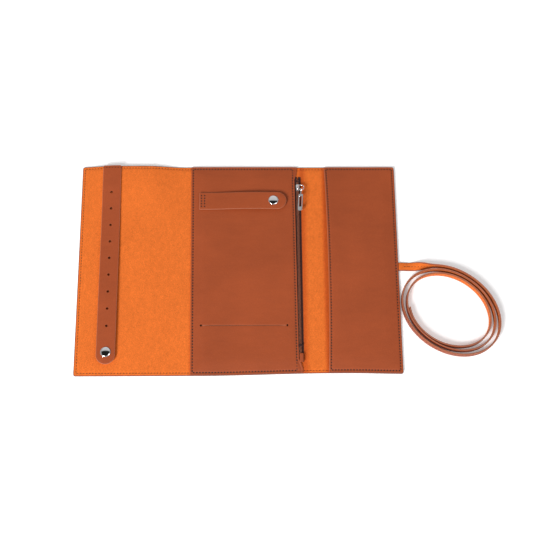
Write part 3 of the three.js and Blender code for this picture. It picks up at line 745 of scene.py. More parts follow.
def build_centre_pocket():
    bm = rectangle(CENTRE_LEFT, -PANEL_TOP, CENTRE_RIGHT, PANEL_TOP)
    for x in (SLIT_LEFT, SLIT_RIGHT):
        punch(bm, x, SLIT_Y, SLIT_HOLE)
    lips = (SLIT_LEFT + 1.25 * MM, SLIT_RIGHT - 1.25 * MM)
    cut_lines(bm, 0, lips)
    cut_lines(bm, 1, (SLIT_Y - SLIT_HALF, SLIT_Y + SLIT_HALF))

    def in_slit(face):
        middle = face.calc_center_median()
        return lips[0] < middle.x < lips[1] and abs(middle.y - SLIT_Y) < SLIT_HALF

    opening = [f for f in bm.faces if in_slit(f)]
    bmesh.ops.delete(bm, geom=opening, context="FACES")
    thicken(bm, POCKET_LEATHER)
    soften_rim(bm, sizes().edge_radius)
    mark_rim(bm, [(x, SLIT_Y, SLIT_HOLE) for x in (SLIT_LEFT, SLIT_RIGHT)], painted=True)
    inset = sizes().edge_inset
    cut_lines(bm, 0, steps(CENTRE_LEFT, CENTRE_RIGHT, sizes().cut_step) + seam_cuts(CENTRE_LEFT, 1, inset))
    cut_lines(bm, 0, seam_cuts(CENTRE_RIGHT, -1, inset))
    cut_lines(bm, 1, steps(-PANEL_TOP, PANEL_TOP, sizes().cut_step))
    cut_lines(bm, 1, seam_cuts(CASE_TOP, -1) + seam_cuts(CASE_BOTTOM, 1))

    def sewn(co):
        x, y, z = co
        shifted = x + mouth_shift(x, y)
        sunk = centre_groove(shifted, y) if z > POCKET_LEATHER / 2 else 0.0
        closing = min(smooth((x - lips[0]) / (9 * MM)), smooth((lips[1] - x) / (9 * MM)))
        near_slit = abs(y - SLIT_Y) < 1.5 * SLIT_HALF and lips[0] - 1e-6 <= x <= lips[1] + 1e-6
        narrowed = SLIT_Y + (y - SLIT_Y) * (0.25 + 0.75 * closing) if near_slit else y
        return lie((shifted, narrowed, POCKET_Z + centre_height(shifted, y) + z - sunk))

    reshape(bm, sewn)
    panel = make_piece("centre_pocket_panel", bm, panel_materials())
    settle(panel, "leather", ["centre_pocket", "centre_pocket_hem"], body="centre")


def right_height(x, y):
    """The right panel fills out from its seams, and its open mouth stands up a little more."""
    sewn = min(RIGHT_POCKET_RIGHT - x, PANEL_TOP - abs(y))
    mouth = (1 - smooth((x - RIGHT_POCKET_LEFT) / (28 * MM))) * (1 - (y / PANEL_TOP) ** 4)
    return RIGHT_HOLLOW * panel_rise(sewn) + 1.5 * MM * mouth


def mouth_bow(x, y):
    """The right panel's open edge is drawn in a little between its sewn ends."""
    slack = 1 - smooth((x - RIGHT_POCKET_LEFT) / (30 * MM))
    return MOUTH_BOW * (1 - (y / PANEL_TOP) ** 2) * slack


def build_right_pocket():
    bm = rectangle(RIGHT_POCKET_LEFT, -PANEL_TOP, RIGHT_POCKET_RIGHT, PANEL_TOP)
    round_corners(bm, lambda co: abs(co.x - RIGHT_POCKET_RIGHT) < 1e-6, sizes().corner_radius)
    thicken(bm, POCKET_LEATHER)
    soften_rim(bm, sizes().edge_radius)
    mark_rim(bm, painted=True)
    cut_lines(bm, 0, steps(RIGHT_POCKET_LEFT, RIGHT_POCKET_RIGHT, sizes().cut_step))
    cut_lines(bm, 0, seam_cuts(RIGHT_POCKET_LEFT, 1, sizes().edge_inset) + seam_cuts(CASE_RIGHT, -1))
    cut_lines(bm, 1, steps(-PANEL_TOP, PANEL_TOP, sizes().cut_step))
    cut_lines(bm, 1, seam_cuts(CASE_TOP, -1) + seam_cuts(CASE_BOTTOM, 1))

    def sewn(co):
        x, y, z = co
        sunk = panel_groove(x - RIGHT_POCKET_LEFT, from_edge(x, y)) if z > POCKET_LEATHER / 2 else 0.0
        return lie((x + mouth_bow(x, y), y, POCKET_Z + right_height(x, y) + z - sunk))

    reshape(bm, sewn)
    panel = make_piece("right_pocket_panel", bm, panel_materials())
    nodes = ["right_pocket", "right_pocket_hem_top", "right_pocket_hem_bottom"]
    settle(panel, "leather", nodes, body="right_wing")


def build_divider():
    """The cloth wall between the slip pocket and the zip pocket, a little slack."""
    (x0, y0, z0), (x1, y1, _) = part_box("pocket_divider")
    bm = rectangle(x0, y0, x1, y1)
    thicken(bm, 0.25 * MM)
    cut_lines(bm, 0, steps(x0, x1, sizes().cut_step))
    cut_lines(bm, 1, steps(y0, y1, sizes().cut_step))

    def slack(co):
        ripple = 0.1 * MM * (1 + math.sin(co.x * 190) * math.cos(co.y * 130))
        inside = smooth(min(co.x - x0, x1 - co.x, co.y - y0, y1 - co.y) / (15 * MM))
        return lie((co.x, co.y, z0 + co.z + ripple * inside))

    reshape(bm, slack)
    cloth = make_piece("pocket_divider_cloth", bm, [divider_cloth()])
    settle(cloth, "divider_cloth", ["pocket_divider"], body="centre")


# ---------------------------------------------------------------- straps

STRAP_HALF = (high("ring_strap").y - low("ring_strap").y) / 2 - 0.35 * MM
STRAP_BACKING = 0.6 * MM
STRAP_LEATHER = 1.0 * MM
STRAP_GAP = 0.05 * MM
STRAP_CLIMB = 1.95 * MM
EAR_HOLE_RADIUS = 0.95 * MM
FIRST_EAR_HOLE = 83.7 * MM
EAR_HOLE_PITCH = 18.4 * MM
EAR_HOLES = [FIRST_EAR_HOLE - EAR_HOLE_PITCH * i for i in range(9)]


def strap_layer(start, length, half, thickness, holes):
    """A strap along +X from start, with a square sewn end and a round free end."""
    bm = rectangle(start, -half, length, half)
    round_corners(bm, lambda co: abs(co.x - length) < 1e-6, half * 0.995, 12)
    bmesh.ops.remove_doubles(bm, verts=bm.verts[:], dist=0.12 * MM)
    round_corners(bm, lambda co: abs(co.x - start) < 1e-6, 1.0 * MM, 3)
    for x, radius in holes:
        punch(bm, x, 0, radius)
    thicken(bm, thickness)
    soften_rim(bm, thickness * 0.32)
    mark_rim(bm, [(x, 0, radius) for x, radius in holes])
    cut_lines(bm, 0, steps(start, length, 2.5 * MM) + steps(-4 * MM, 4 * MM, 0.8 * MM))
    cut_lines(bm, 1, (-half + 1.2 * MM, 0.0, half - 1.2 * MM))
    return bm


def strap_height(x, length, crown):
    """The strap leaves the panel, climbs to its snap and bows a little on the way."""
    climb = STRAP_CLIMB * smooth(x / (length - 2.5 * STRAP_HALF))
    bow = crown * math.sin(math.pi * min(max(x / length, 0.0), 1.0)) ** 2
    return climb + bow


def build_strap(name, start, length, base, crown, holes, place, bend):
    """A strap and its suede backing. place turns the strap's own axes into the case's."""
    # The third finish of each layer is the painted shade for the walls of its holes.
    backing = [suede_nap(), suede_nap(), hole_shade_leather()]
    face = [smooth_leather(), cut_leather(), hole_shade_leather()]
    above = STRAP_BACKING + STRAP_GAP
    layers = [
        (f"{name}_suede", STRAP_BACKING, 0.0, backing, 0.4 * MM, "suede", [f"{name}_backing"]),
        (f"{name}_leather", STRAP_LEATHER, above, face, 0.0, "leather", [name, f"{name}_anchor"]),
    ]
    for label, thickness, level, materials, inset, slot, nodes in layers:
        bm = strap_layer(start + inset, length - inset, STRAP_HALF - inset, thickness, holes)

        def rising(co):
            z = base + level + co.z + strap_height(co.x, length, crown)
            return lie(place @ Vector((co.x, co.y, z)))

        reshape(bm, rising)
        piece = make_piece(label, bm, materials)
        settle(piece, slot, nodes, bend=bend)


def build_ring_strap():
    fold = fold_at("ring_strap_lift")
    place = Matrix.Translation((fold.x, fold.y, 0))
    length = high("ring_strap").x - fold.x - 1.2 * MM
    start = low("ring_strap_anchor").x - fold.x
    base = low("ring_strap_anchor").z + 0.1 * MM
    reach = Vector((3 * MM, 0, 0))
    bend = ("centre", "ring_strap", fold - reach, fold + reach)
    build_strap("ring_strap", start, length, base, 0.9 * MM, [], place, bend)


def build_stud_strap():
    fold = fold_at("stud_strap_lift")
    place = Matrix.Translation((fold.x, fold.y, 0)) @ Matrix.Rotation(-math.pi / 2, 4, "Z")
    length = fold.y - low("stud_strap").y
    start = fold.y - high("stud_strap_anchor").y
    base = low("stud_strap_anchor").z + 0.1 * MM
    holes = [(fold.y - y, EAR_HOLE_RADIUS) for y in EAR_HOLES]
    reach = Vector((0, 3 * MM, 0))
    bend = ("left_wing", "stud_strap", fold + reach, fold - reach)
    build_strap("stud_strap", start, length, base, 0.0, holes, place, bend)


# ---------------------------------------------------------------- snaps


def cap_profile(radius, base, height):
    """A domed cap with a rolled rim."""
    dome = [
        (radius * math.cos(angle), base + 0.45 * MM + (height - 0.45 * MM) * math.sin(angle))
        for angle in (math.pi / 2 * i / 12 for i in range(13))
    ]
    dome[-1] = (0.0, dome[-1][1])
    return [(0.0, base), (radius - 0.45 * MM, base), (radius - 0.1 * MM, base + 0.12 * MM)] + dome


def socket_profile(base, top):
    """The spring socket under a strap."""
    half = (base + top) / 2
    return [(1.7 * MM, top), (4.3 * MM, top), (4.6 * MM, top - 0.2 * MM), (4.6 * MM, base + 0.3 * MM),
            (4.3 * MM, base), (3.2 * MM, base), (2.8 * MM, base + 0.2 * MM), (2.8 * MM, half + 0.2 * MM),
            (1.7 * MM, half + 0.2 * MM), (1.7 * MM, top)]


def stud_profile(base, top):
    """The stud on the panel, a flange with a rounded head."""
    return [(0.0, base), (4.2 * MM, base), (4.4 * MM, base + 0.15 * MM), (4.2 * MM, base + 0.4 * MM),
            (2.5 * MM, base + 0.45 * MM), (2.1 * MM, base + 0.7 * MM), (2.35 * MM, base + 1.1 * MM),
            (2.1 * MM, top - 0.1 * MM), (1.4 * MM, top), (0.0, top)]


def build_snap(name, strap_body, panel_body):
    (x0, y0, _), (x1, y1, cap_top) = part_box(f"{name}_cap")
    centre = Vector(((x0 + x1) / 2, (y0 + y1) / 2, 0))
    radius = (x1 - x0) / 2
    socket_low, socket_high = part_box(f"{name}_socket")
    stud_low, stud_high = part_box(f"{name}_stud")
    parts = [
        ("cap", cap_profile(radius, cap_top - 1.4 * MM, 1.4 * MM), strap_body),
        ("socket", socket_profile(socket_low.z, socket_high.z), strap_body),
        ("stud", stud_profile(stud_low.z, stud_high.z), panel_body),
    ]
    for part, profile, body in parts:
        bm = bmesh.new()
        turned(bm, profile, centre)
        reshape(bm, lie)
        piece = make_piece(f"{name}_{part}_turned", bm, [polished_nickel()], sharp=1.2)
        settle(piece, "polished_metal", [f"{name}_{part}"], body=body)


# ---------------------------------------------------------------- zip

ZIP_X = (low("zip_coil_left").x + high("zip_coil_right").x) / 2
COIL_LOW = low("zip_coil_left").z
COIL_HIGH = high("zip_coil_left").z
COIL_TOP_Y = high("zip_coil_left").y
COIL_BOTTOM_Y = low("zip_coil_left").y
TOOTH_PITCH = 1.5 * MM


def build_teeth(side, sign):
    """One row of teeth; the two rows reach past the middle and lock between each other."""
    node = f"zip_coil_{side}"
    outer = low(node).x if sign < 0 else high(node).x
    outer -= sign * 0.5 * MM
    inner = ZIP_X - sign * 0.35 * MM
    length = abs(outer - inner)
    bm = bmesh.new()
    count = int((COIL_TOP_Y - COIL_BOTTOM_Y - TOOTH_PITCH) / TOOTH_PITCH)
    for i in range(count):
        y = COIL_TOP_Y - TOOTH_PITCH * (i + (0.5 if sign < 0 else 1.0))
        centre = Vector(((outer + inner) / 2 + ZIP_DRIFT, y, (COIL_LOW + COIL_HIGH) / 2))
        shape = Matrix.Diagonal((length, 0.86 * MM, COIL_HIGH - COIL_LOW, 1))
        bmesh.ops.create_uvsphere(bm, u_segments=8, v_segments=6, radius=0.5,
                                  matrix=Matrix.Translation(centre) @ shape)
    reshape(bm, lie)
    piece = make_piece(f"{node}_teeth", bm, [nylon_coil()])
    settle(piece, "zip_coil", [node], body="centre")


def build_tapes():
    """The left tape lies under the panel; the right one turns down to the lining."""
    low_left, high_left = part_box("zip_tape_left")
    low_right, high_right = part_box("zip_tape_right")
    thickness = high_left.z - low_left.z
    length = high_left.y
    drop = high_right.z - thickness
    foot = low_right.z

    def right_level(x):
        return drop + (foot - drop) * smooth((x - low_right.x - 0.9 * MM) / (1.3 * MM))

    for side, x0, x1, level in (
        ("left", low_left.x, high_left.x, lambda x: low_left.z),
        ("right", low_right.x, low_right.x + 2.9 * MM, right_level),
    ):
        bm = rectangle(x0, -length, x1, length)
        thicken(bm, thickness)
        soften_rim(bm, 0.12 * MM)
        cut_lines(bm, 0, steps(x0, x1, 0.4 * MM))
        cut_lines(bm, 1, steps(-length, length, 6 * MM))
        reshape(bm, lambda co, level=level: lie((co.x + ZIP_DRIFT, co.y, co.z + level(co.x))))
        piece = make_piece(f"zip_tape_{side}_cloth", bm, [zip_tape_cloth()])
        settle(piece, "zip_tape", [f"zip_tape_{side}"], body="centre")


def rounded_block(name, node, radius, materials, slot, body, shift=(0.0, 0.0)):
    """A small part with rounded edges, the size of its CAD node."""
    (x0, y0, z0), (x1, y1, z1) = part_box(node)
    x0, x1, y0, y1 = x0 + shift[0], x1 + shift[0], y0 + shift[1], y1 + shift[1]
    bm = rectangle(x0, y0, x1, y1)
    round_corners(bm, lambda co: True, radius, 3)
    thicken(bm, z1 - z0)
    soften_rim(bm, (z1 - z0) * 0.3, segments=3)
    reshape(bm, lambda co: lie((co.x, co.y, co.z + z0)))
    piece = make_piece(name, bm, materials)
    settle(piece, slot, [node], body=body)


def build_zip_ends():
    for node, sign in (("zip_top_stop_left", 1), ("zip_top_stop_right", -1), ("zip_bottom_stop", 0)):
        shift = (ZIP_DRIFT + sign * 0.2 * MM, 0.0)
        rounded_block(f"{node}_moulded", node, 0.3 * MM, [zip_tape_cloth()], "zip_coil", "centre", shift)
    shift = (ZIP_DRIFT + 0.9 * MM, -2.2 * MM)
    finish = [smooth_leather()]
    rounded_block("zip_end_tab_leather", "zip_end_tab", 0.7 * MM, finish, "leather", "centre", shift)


def slider_plate(half_x, half_y, bottom, thickness, narrowing, crown):
    """A shield-shaped plate with a rounded rim; its wide end faces the open teeth."""
    bm = rectangle(-half_x, -half_y, half_x, half_y)
    round_corners(bm, lambda co: co.y > 0, half_x * 0.6, 6)
    round_corners(bm, lambda co: co.y < 0 and abs(co.x) > half_x * 0.9, half_x * 0.45, 4)
    thicken(bm, thickness)
    cut_lines(bm, 0, steps(-half_x, half_x, 0.6 * MM))
    cut_lines(bm, 1, steps(-half_y, half_y, 0.8 * MM))

    def shield(co):
        narrow = 1 - narrowing * smooth((half_y - co.y) / (2 * half_y))
        dome = crown * (1 - (co.x / half_x) ** 2) if co.z > thickness / 2 else 0.0
        return Vector((co.x * narrow, co.y, bottom + co.z + dome))

    reshape(bm, shield)
    soften_rim(bm, thickness * 0.28)
    return bm


def slider_bridge(reach, foot, top):
    """The arched bridge along the slider that the link hangs on."""
    arch = bmesh.new()
    section = flat_section(arch, 1.15 * MM, 0.7 * MM, 0.25 * MM)
    stations = []
    for i in range(25):
        angle = math.pi * i / 24
        y = reach * math.copysign(abs(math.cos(angle)) ** 0.6, math.cos(angle))
        z = foot + (top - foot) * math.sin(angle) ** 0.6
        turn = math.atan2(-math.cos(angle) * (top - foot), math.sin(angle) * reach)
        stations.append(Matrix.Translation((0, y, z)) @ Matrix.Rotation(turn - math.pi / 2, 4, "X")
                        @ Matrix.Rotation(math.pi, 4, "Z"))
    sweep(arch, section, stations)
    return arch


def build_slider():
    """Slider: upper and lower plates, a neck between them and the bridge that holds the link."""
    (x0, y0, z0), (x1, y1, z1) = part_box("zip_slider")
    centre = Vector(((x0 + x1) / 2 + ZIP_DRIFT, (y0 + y1) / 2, 0))
    half_y = (y1 - y0) / 2 - 0.9 * MM
    top = 5.55 * MM
    upper = slider_plate(2.0 * MM, half_y, top - 0.9 * MM, 0.75 * MM, 0.25, 0.4 * MM)
    join(upper, slider_plate(2.0 * MM, half_y, z0, 0.42 * MM, 0.1, 0.0))
    neck = rectangle(-0.25 * MM, half_y - 1.6 * MM, 0.25 * MM, half_y - 0.6 * MM)
    thicken(neck, top - 1.1 * MM - z0)
    reshape(neck, lambda co: Vector((co.x, co.y, z0 + 0.2 * MM + co.z)))
    join(upper, neck)
    join(upper, slider_bridge(half_y - 0.6 * MM, top - 0.2 * MM, z1 - 0.35 * MM))
    bmesh.ops.translate(upper, verts=upper.verts[:], vec=centre)
    piece = make_piece("zip_slider_body", upper, [polished_nickel()], sharp=0.9)
    settle(piece, "polished_metal", ["zip_slider"], body="zip_slider")


def join(bm, other):
    """Adds another mesh to this one."""
    mesh = bpy.data.meshes.new("part")
    other.to_mesh(mesh)
    other.free()
    bm.from_mesh(mesh)
    bpy.data.meshes.remove(mesh)


def build_link():
    """The oval wire link on the bridge."""
    low_corner, high_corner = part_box("zip_ring")
    centre = (low_corner + high_corner) / 2
    half_x = (high_corner.x - low_corner.x) / 2 - 0.45 * MM
    half_y = 4.0 * MM
    tilt = Matrix.Translation(centre) @ Matrix.Rotation(-0.47, 4, "X")
    bm = bmesh.new()
    upright = Matrix.Translation((half_y, 0, 0)) @ Matrix.Rotation(math.pi / 2, 4, "X")
    bmesh.ops.create_circle(bm, segments=14, radius=0.55 * MM, matrix=upright)
    bmesh.ops.spin(bm, geom=bm.verts[:] + bm.edges[:], cent=(0, 0, 0), axis=(0, 0, 1), angle=2 * math.pi,
                   steps=48, use_merge=True)
    bmesh.ops.remove_doubles(bm, verts=bm.verts[:], dist=1e-7)
    bmesh.ops.recalc_face_normals(bm, faces=bm.faces[:])
    reshape(bm, lambda co: tilt @ Vector((co.x * half_x / half_y, co.y, co.z)))
    piece = make_piece("zip_link", bm, [polished_nickel()])
    settle(piece, "polished_metal", ["zip_ring"], body="zip_ring")


def build_pull():
    """The pull: an eye round the link, a slim neck and a long slotted tab."""
    eye = fold_at("zip_pull_swing")
    length = 23 * MM
    half = 2.6 * MM
    shoulder = 4.6 * MM
    bm = rectangle(-half, -length, half, -shoulder)
    round_corners(bm, lambda co: co.y < -length * 0.9, 1.9 * MM, 5)
    round_corners(bm, lambda co: co.y > -shoulder * 1.1, 1.7 * MM, 5)
    slot = (-18.6 * MM, -7.2 * MM)
    cut_lines(bm, 0, (-1.4 * MM, 1.4 * MM))
    cut_lines(bm, 1, slot)
    centres = {f: f.calc_center_median() for f in bm.faces}
    window = [f for f, middle in centres.items() if abs(middle.x) < 1 * MM and slot[0] < middle.y < slot[1]]
    bmesh.ops.delete(bm, geom=window, context="FACES")
    thicken(bm, 1.0 * MM)
    soften_rim(bm, 0.3 * MM, segments=3)
    reshape(bm, lambda co: Vector((co.x, co.y, co.z - 0.5 * MM)))
    neck = bmesh.new()
    section = flat_section(neck, 1.35 * MM, 1.0 * MM, 0.3 * MM)
    stations = [Matrix.Translation((0, y * MM, 0)) @ Matrix.Rotation(math.pi / 2, 4, "X")
                for y in (-1.2, -2.5, -4, -5.4)]
    sweep(neck, section, stations)
    join(bm, neck)
    loop = bmesh.new()
    section = flat_section(loop, 1.35 * MM, 0.55 * MM, 0.2 * MM)
    turns = [Matrix.Rotation(2 * math.pi * i / 28, 4, "X") @ Matrix.Translation((0, 1.12 * MM, 0))
             for i in range(29)]
    sweep(loop, section, turns)
    join(bm, loop)
    bmesh.ops.remove_doubles(bm, verts=bm.verts[:], dist=1e-7)
    lean = (Matrix.Translation(eye) @ Matrix.Rotation(0.09, 4, "X") @ Matrix.Rotation(-0.06, 4, "Z")
            @ Matrix.Rotation(-0.4, 4, "Y"))
    reshape(bm, lambda co: lean @ co)
    piece = make_piece("zip_pull_tab", bm, [polished_nickel()], sharp=0.9)
    settle(piece, "polished_metal", ["zip_pull"], body="zip_pull")


# ---------------------------------------------------------------- tie strap

TIE_WIDTH = 9.2 * MM
TIE_THICKNESS = 1.6 * MM
TIE_FACE = 1.0 * MM
TIE_BACK = 0.55 * MM
TIE_EXIT = Vector((CASE_RIGHT, 0.8 * MM, 2.05 * MM))
TIE_LEAD_ROUTE = [(0.168, 0.0008), (0.176, 0.0008), (0.184, 0.0008), (0.192, 0.0006), (0.1996, 0.0005)]
COIL_CENTRE = Vector((218.4 * MM, -48.4 * MM))
COIL_LONG_RADIUS = 57.2 * MM
COIL_LONG_SHRINK = 5.4 * MM
COIL_SHORT_RADIUS = 43.9 * MM
COIL_SHORT_SHRINK = 3.8 * MM
COIL_TILT = -0.645
COIL_START_ANGLE = 1.809
COIL_TURNS = 2.78
STEPS_PER_TURN = 84
TWIST_FROM = 178 * MM
TWIST_TO = 207 * MM
END_SLANT = 7 * MM
# Only so many points, the lead's and the coil's first, may lie flat or turn; the rest stand on edge.
TURNING_POINTS = 40


def coil_point(turns):
    """A point of the coil after so many turns."""
    angle = COIL_START_ANGLE - 2 * math.pi * turns - COIL_TILT
    relaxed = 2.6 * MM * smooth((turns - COIL_TURNS + 0.34) / 0.34)
    along = (COIL_LONG_RADIUS - COIL_LONG_SHRINK * turns + relaxed) * math.cos(angle)
    across = (COIL_SHORT_RADIUS - COIL_SHORT_SHRINK * turns + relaxed) * math.sin(angle)
    turned_point = Matrix.Rotation(COIL_TILT, 2) @ Vector((along, across))
    return COIL_CENTRE + turned_point


def lead_points():
    """The hand-laid stretch from the wing to the coil, drawn as a smooth curve."""
    first = Vector(TIE_LEAD_ROUTE[0])
    route = [first + Vector((-8 * MM, 0))] + [Vector(p) for p in TIE_LEAD_ROUTE] + [coil_point(0.03)]
    points = []
    for before, start, end, after in zip(route, route[1:], route[2:], route[3:]):
        for i in range(5):
            t = i / 5
            squared = (2 * before - 5 * start + 4 * end - after) * t ** 2
            cubed = (3 * start - before - 3 * end + after) * t ** 3
            points.append(0.5 * (2 * start + (end - before) * t + squared + cubed))
    return points


def tie_line():
    """Every point of the tie's middle line: the lead first and then each turn of the coil."""
    count = round(COIL_TURNS * STEPS_PER_TURN)
    coil = [coil_point(i / STEPS_PER_TURN) for i in range(count + 1)]
    flat = lead_points() + coil
    line = []
    for i, point in enumerate(flat):
        turn = twist_at(point, i)
        height = (TIE_WIDTH / 2) * math.sin(turn) + (TIE_THICKNESS / 2) * math.cos(turn)
        falling = 1 - smooth((point.x - CASE_RIGHT) / (14 * MM))
        under = (TIE_EXIT.z - TIE_THICKNESS / 2) * falling if i <= TURNING_POINTS else 0
        line.append(Vector((point.x, point.y, height + under + 0.02 * MM)))
    return line


def twist_at(point, i):
    """The strap leaves the wing flat, suede up, and turns on edge as it meets the coil."""
    if i > TURNING_POINTS:
        return math.pi / 2
    return math.pi / 2 * smooth((point.x - TWIST_FROM) / (TWIST_TO - TWIST_FROM))


def tie_frames(line, offset):
    """A matrix for each point: X across the strap's width, Y through its thickness, Z along it."""
    frames = []
    for i, point in enumerate(line):
        ahead = line[min(i + 1, len(line) - 1)] - line[max(i - 1, 0)]
        ahead.normalize()
        side = ahead.cross(Vector((0, 0, 1))).normalized()
        up = side.cross(ahead)
        turn = twist_at(point, i)
        face = up * math.cos(turn) + side * math.sin(turn)
        across = face.cross(ahead)
        place = point + face * offset
        rotation = Matrix((across, face, ahead)).transposed().to_4x4()
        frames.append(Matrix.Translation(place) @ rotation)
    return frames


def build_tie():
    line = tie_line()
    length = sum((b - a).length for a, b in zip(line, line[1:]))
    back_offset = TIE_THICKNESS / 2 - TIE_BACK / 2
    face_offset = TIE_FACE / 2 - TIE_THICKNESS / 2
    layers = [
        ("tie_strap", TIE_WIDTH, TIE_FACE, face_offset, [smooth_leather(), cut_leather()]),
        ("tie_lining", TIE_WIDTH - 1.5 * MM, TIE_BACK, back_offset, [suede_nap(), cut_leather()]),
    ]
    bend = ("right_wing", "tie", (CASE_RIGHT - 4 * MM, TIE_EXIT.y + 1 * MM, 0),
            (CASE_RIGHT + 4 * MM, TIE_EXIT.y - 1 * MM, 0))
    made = {}
    for name, width, thickness, offset, materials in layers:
        bm = bmesh.new()
        section = flat_section(bm, width, thickness, thickness * 0.3)
        frames = tie_frames(line, offset)
        end = sweep(bm, section, frames)
        last = frames[-1].inverted()
        for v in {v for e in end if e.is_valid for v in e.verts}:
            local = last @ v.co
            local.z += END_SLANT * (local.x / width - 0.5)
            v.co = frames[-1] @ local
        mark_edges(bm, frames, width)
        made[name] = make_piece(name, bm, materials)
    stitches = tie_stitches(line)
    for piece, slot, nodes in (
        (made["tie_lining"], "suede", ["tie_lead", "tie_coil"]),
        (stitches, "thread", ["tie_coil"]),
        (made["tie_strap"], "leather", ["tie_lead", "tie_coil"]),
    ):
        settle(piece, slot, nodes, bend=bend)
    [tuple(p) for p in line]


def mark_edges(bm, frames, width):
    """The two narrow sides of the strap take the cut-edge finish."""
    nearest = KDTree(len(frames))
    for i, station in enumerate(frames):
        nearest.insert(station.translation, i)
    nearest.balance()
    for face in bm.faces:
        centre = face.calc_center_median()
        local = frames[nearest.find(centre)[1]].inverted() @ centre
        if abs(local.x) > width / 2 - 0.12 * MM:
            face.material_index = 1


def tie_stitches(line):
    """A row of stitches down the middle of the strap, on both of its faces."""
    bm = bmesh.new()
    frames = tie_frames(line, 0.0)
    travelled = 0.0
    wanted = 5 * MM
    for before, here in zip(frames, frames[1:]):
        travelled += (here.translation - before.translation).length
        if travelled < wanted:
            continue
        wanted += sizes().stitch_pitch
        for level in (TIE_THICKNESS / 2, -TIE_THICKNESS / 2):
            shape = Matrix.Diagonal((sizes().thread_width * 0.5, 0.3 * MM, sizes().stitch_pitch * 0.68, 1))
            place = here @ Matrix.Translation((0, level, 0)) @ shape
            bmesh.ops.create_uvsphere(bm, u_segments=6, v_segments=4, radius=0.5, matrix=place)
    return make_piece("tie_stitches", bm, [sewing_thread()])


# ---------------------------------------------------------------- seams


# Stitches in suede sink into its nap, so only part of the thread's width shows.
SUNK_GIRTH = 0.42


def stitch_row(bm, start, end, level, girth=1.0):
    """Stitches from one point to another. level gives the height of the surface at x and y."""
    start, end = Vector(start), Vector(end)
    run = end - start
    count = max(1, round(run.length / sizes().stitch_pitch))
    angle = math.atan2(run.y, run.x) + 0.12
    shape = Matrix.Diagonal((sizes().stitch_pitch * 0.64, sizes().thread_width * girth, 0.6 * MM, 1))
    for i in range(count):
        middle = start + run * (i + 0.5) / count
        centre = lie((middle.x, middle.y, level(middle.x, middle.y)))
        place = Matrix.Translation(centre) @ Matrix.Rotation(angle, 4, "Z") @ shape
        bmesh.ops.create_uvsphere(bm, u_segments=6, v_segments=4, radius=0.5, matrix=place)


def seam_piece(name, rows, level, nodes, body=None, bend=None, girth=1.0):
    bm = bmesh.new()
    for start, end in rows:
        stitch_row(bm, start, end, level, girth)
    piece = make_piece(name, bm, [sewing_thread()])
    settle(piece, "thread", nodes, body=body, bend=bend)


def wing_level(x, y):
    """Top of the lining, or of the pierced strap's end where the seam crosses it."""
    on_strap = low("stud_strap_anchor").x < x < high("stud_strap_anchor").x and y > 0.11
    strap_top = low("stud_strap_anchor").z + STRAP_BACKING + STRAP_LEATHER + 0.15 * MM
    return strap_top if on_strap else LINING_TOP - 0.12 * MM


def build_seams():
    inset = sizes().stitch_inset
    top, bottom = CASE_TOP - inset, CASE_BOTTOM + inset
    left = CASE_LEFT + inset
    wing_rows = [((left, top), (LEFT_SPINE_MIDDLE, top)), ((left, top), (left, bottom)),
                 ((left, bottom), (LEFT_SPINE_MIDDLE, bottom))]
    wing_nodes = ["seam_left_wing", "seam_left_spine_top", "seam_left_spine_bottom"]
    seam_piece("stitches_left_wing", wing_rows, wing_level, wing_nodes, bend=section_bend(SECTIONS[0]),
               girth=SUNK_GIRTH)
    spine_end = CENTRE_LEFT - 0.5 * MM
    rows = [((LEFT_SPINE_MIDDLE, y), (spine_end, y)) for y in (top, bottom)]
    seam_piece("stitches_left_spine", rows, wing_level, wing_nodes[1:], bend=section_bend(SECTIONS[1]),
               girth=SUNK_GIRTH)
    nodes = ["seam_right_spine_top", "seam_right_spine_bottom"]
    rows = [((CENTRE_RIGHT + 0.6 * MM, y), (RIGHT_SPINE_MIDDLE, y)) for y in (top, bottom)]
    seam_piece("stitches_right_spine", rows, wing_level, nodes, bend=section_bend(SECTIONS[2]),
               girth=SUNK_GIRTH)
    rows = [((RIGHT_SPINE_MIDDLE, y), (RIGHT_POCKET_LEFT - 0.4 * MM, y)) for y in (top, bottom)]
    seam_piece("stitches_right_spine_edge", rows, wing_level, nodes, bend=section_bend(SECTIONS[3]),
               girth=SUNK_GIRTH)

    def centre_level(x, y):
        return POCKET_Z + centre_height(x, y) + POCKET_LEATHER - 0.15 * MM

    def beside(edge, y, inward):
        return edge + mouth_shift(edge, min(max(y, -99 * MM), 99 * MM)) + inward * sizes().edge_inset

    corners = [[(beside(edge, y, side), y) for y in (top, bottom)]
               for edge, side in ((CENTRE_LEFT, 1), (CENTRE_RIGHT, -1))]
    rows = [(corners[0][0], corners[1][0]), (corners[0][0], corners[0][1]), (corners[1][0], corners[1][1]),
            (corners[0][1], corners[1][1])]
    seam_piece("stitches_centre_pocket", rows, centre_level, ["seam_centre_pocket"], body="centre")

    def right_level(x, y):
        return POCKET_Z + right_height(x, y) + POCKET_LEATHER - 0.15 * MM

    x0, x1 = RIGHT_POCKET_LEFT + sizes().edge_inset, CASE_RIGHT - inset
    mouth = [(x0 + mouth_bow(x0, y), y) for y in (top + (bottom - top) * i / 12 for i in range(13))]
    rows = [((x0, top), (x1, top)), ((x1, top), (x1, bottom)), ((x0, bottom), (x1, bottom))]
    rows += list(zip(mouth, mouth[1:]))
    seam_piece("stitches_right_pocket", rows, right_level, ["seam_right_pocket"], body="right_wing")


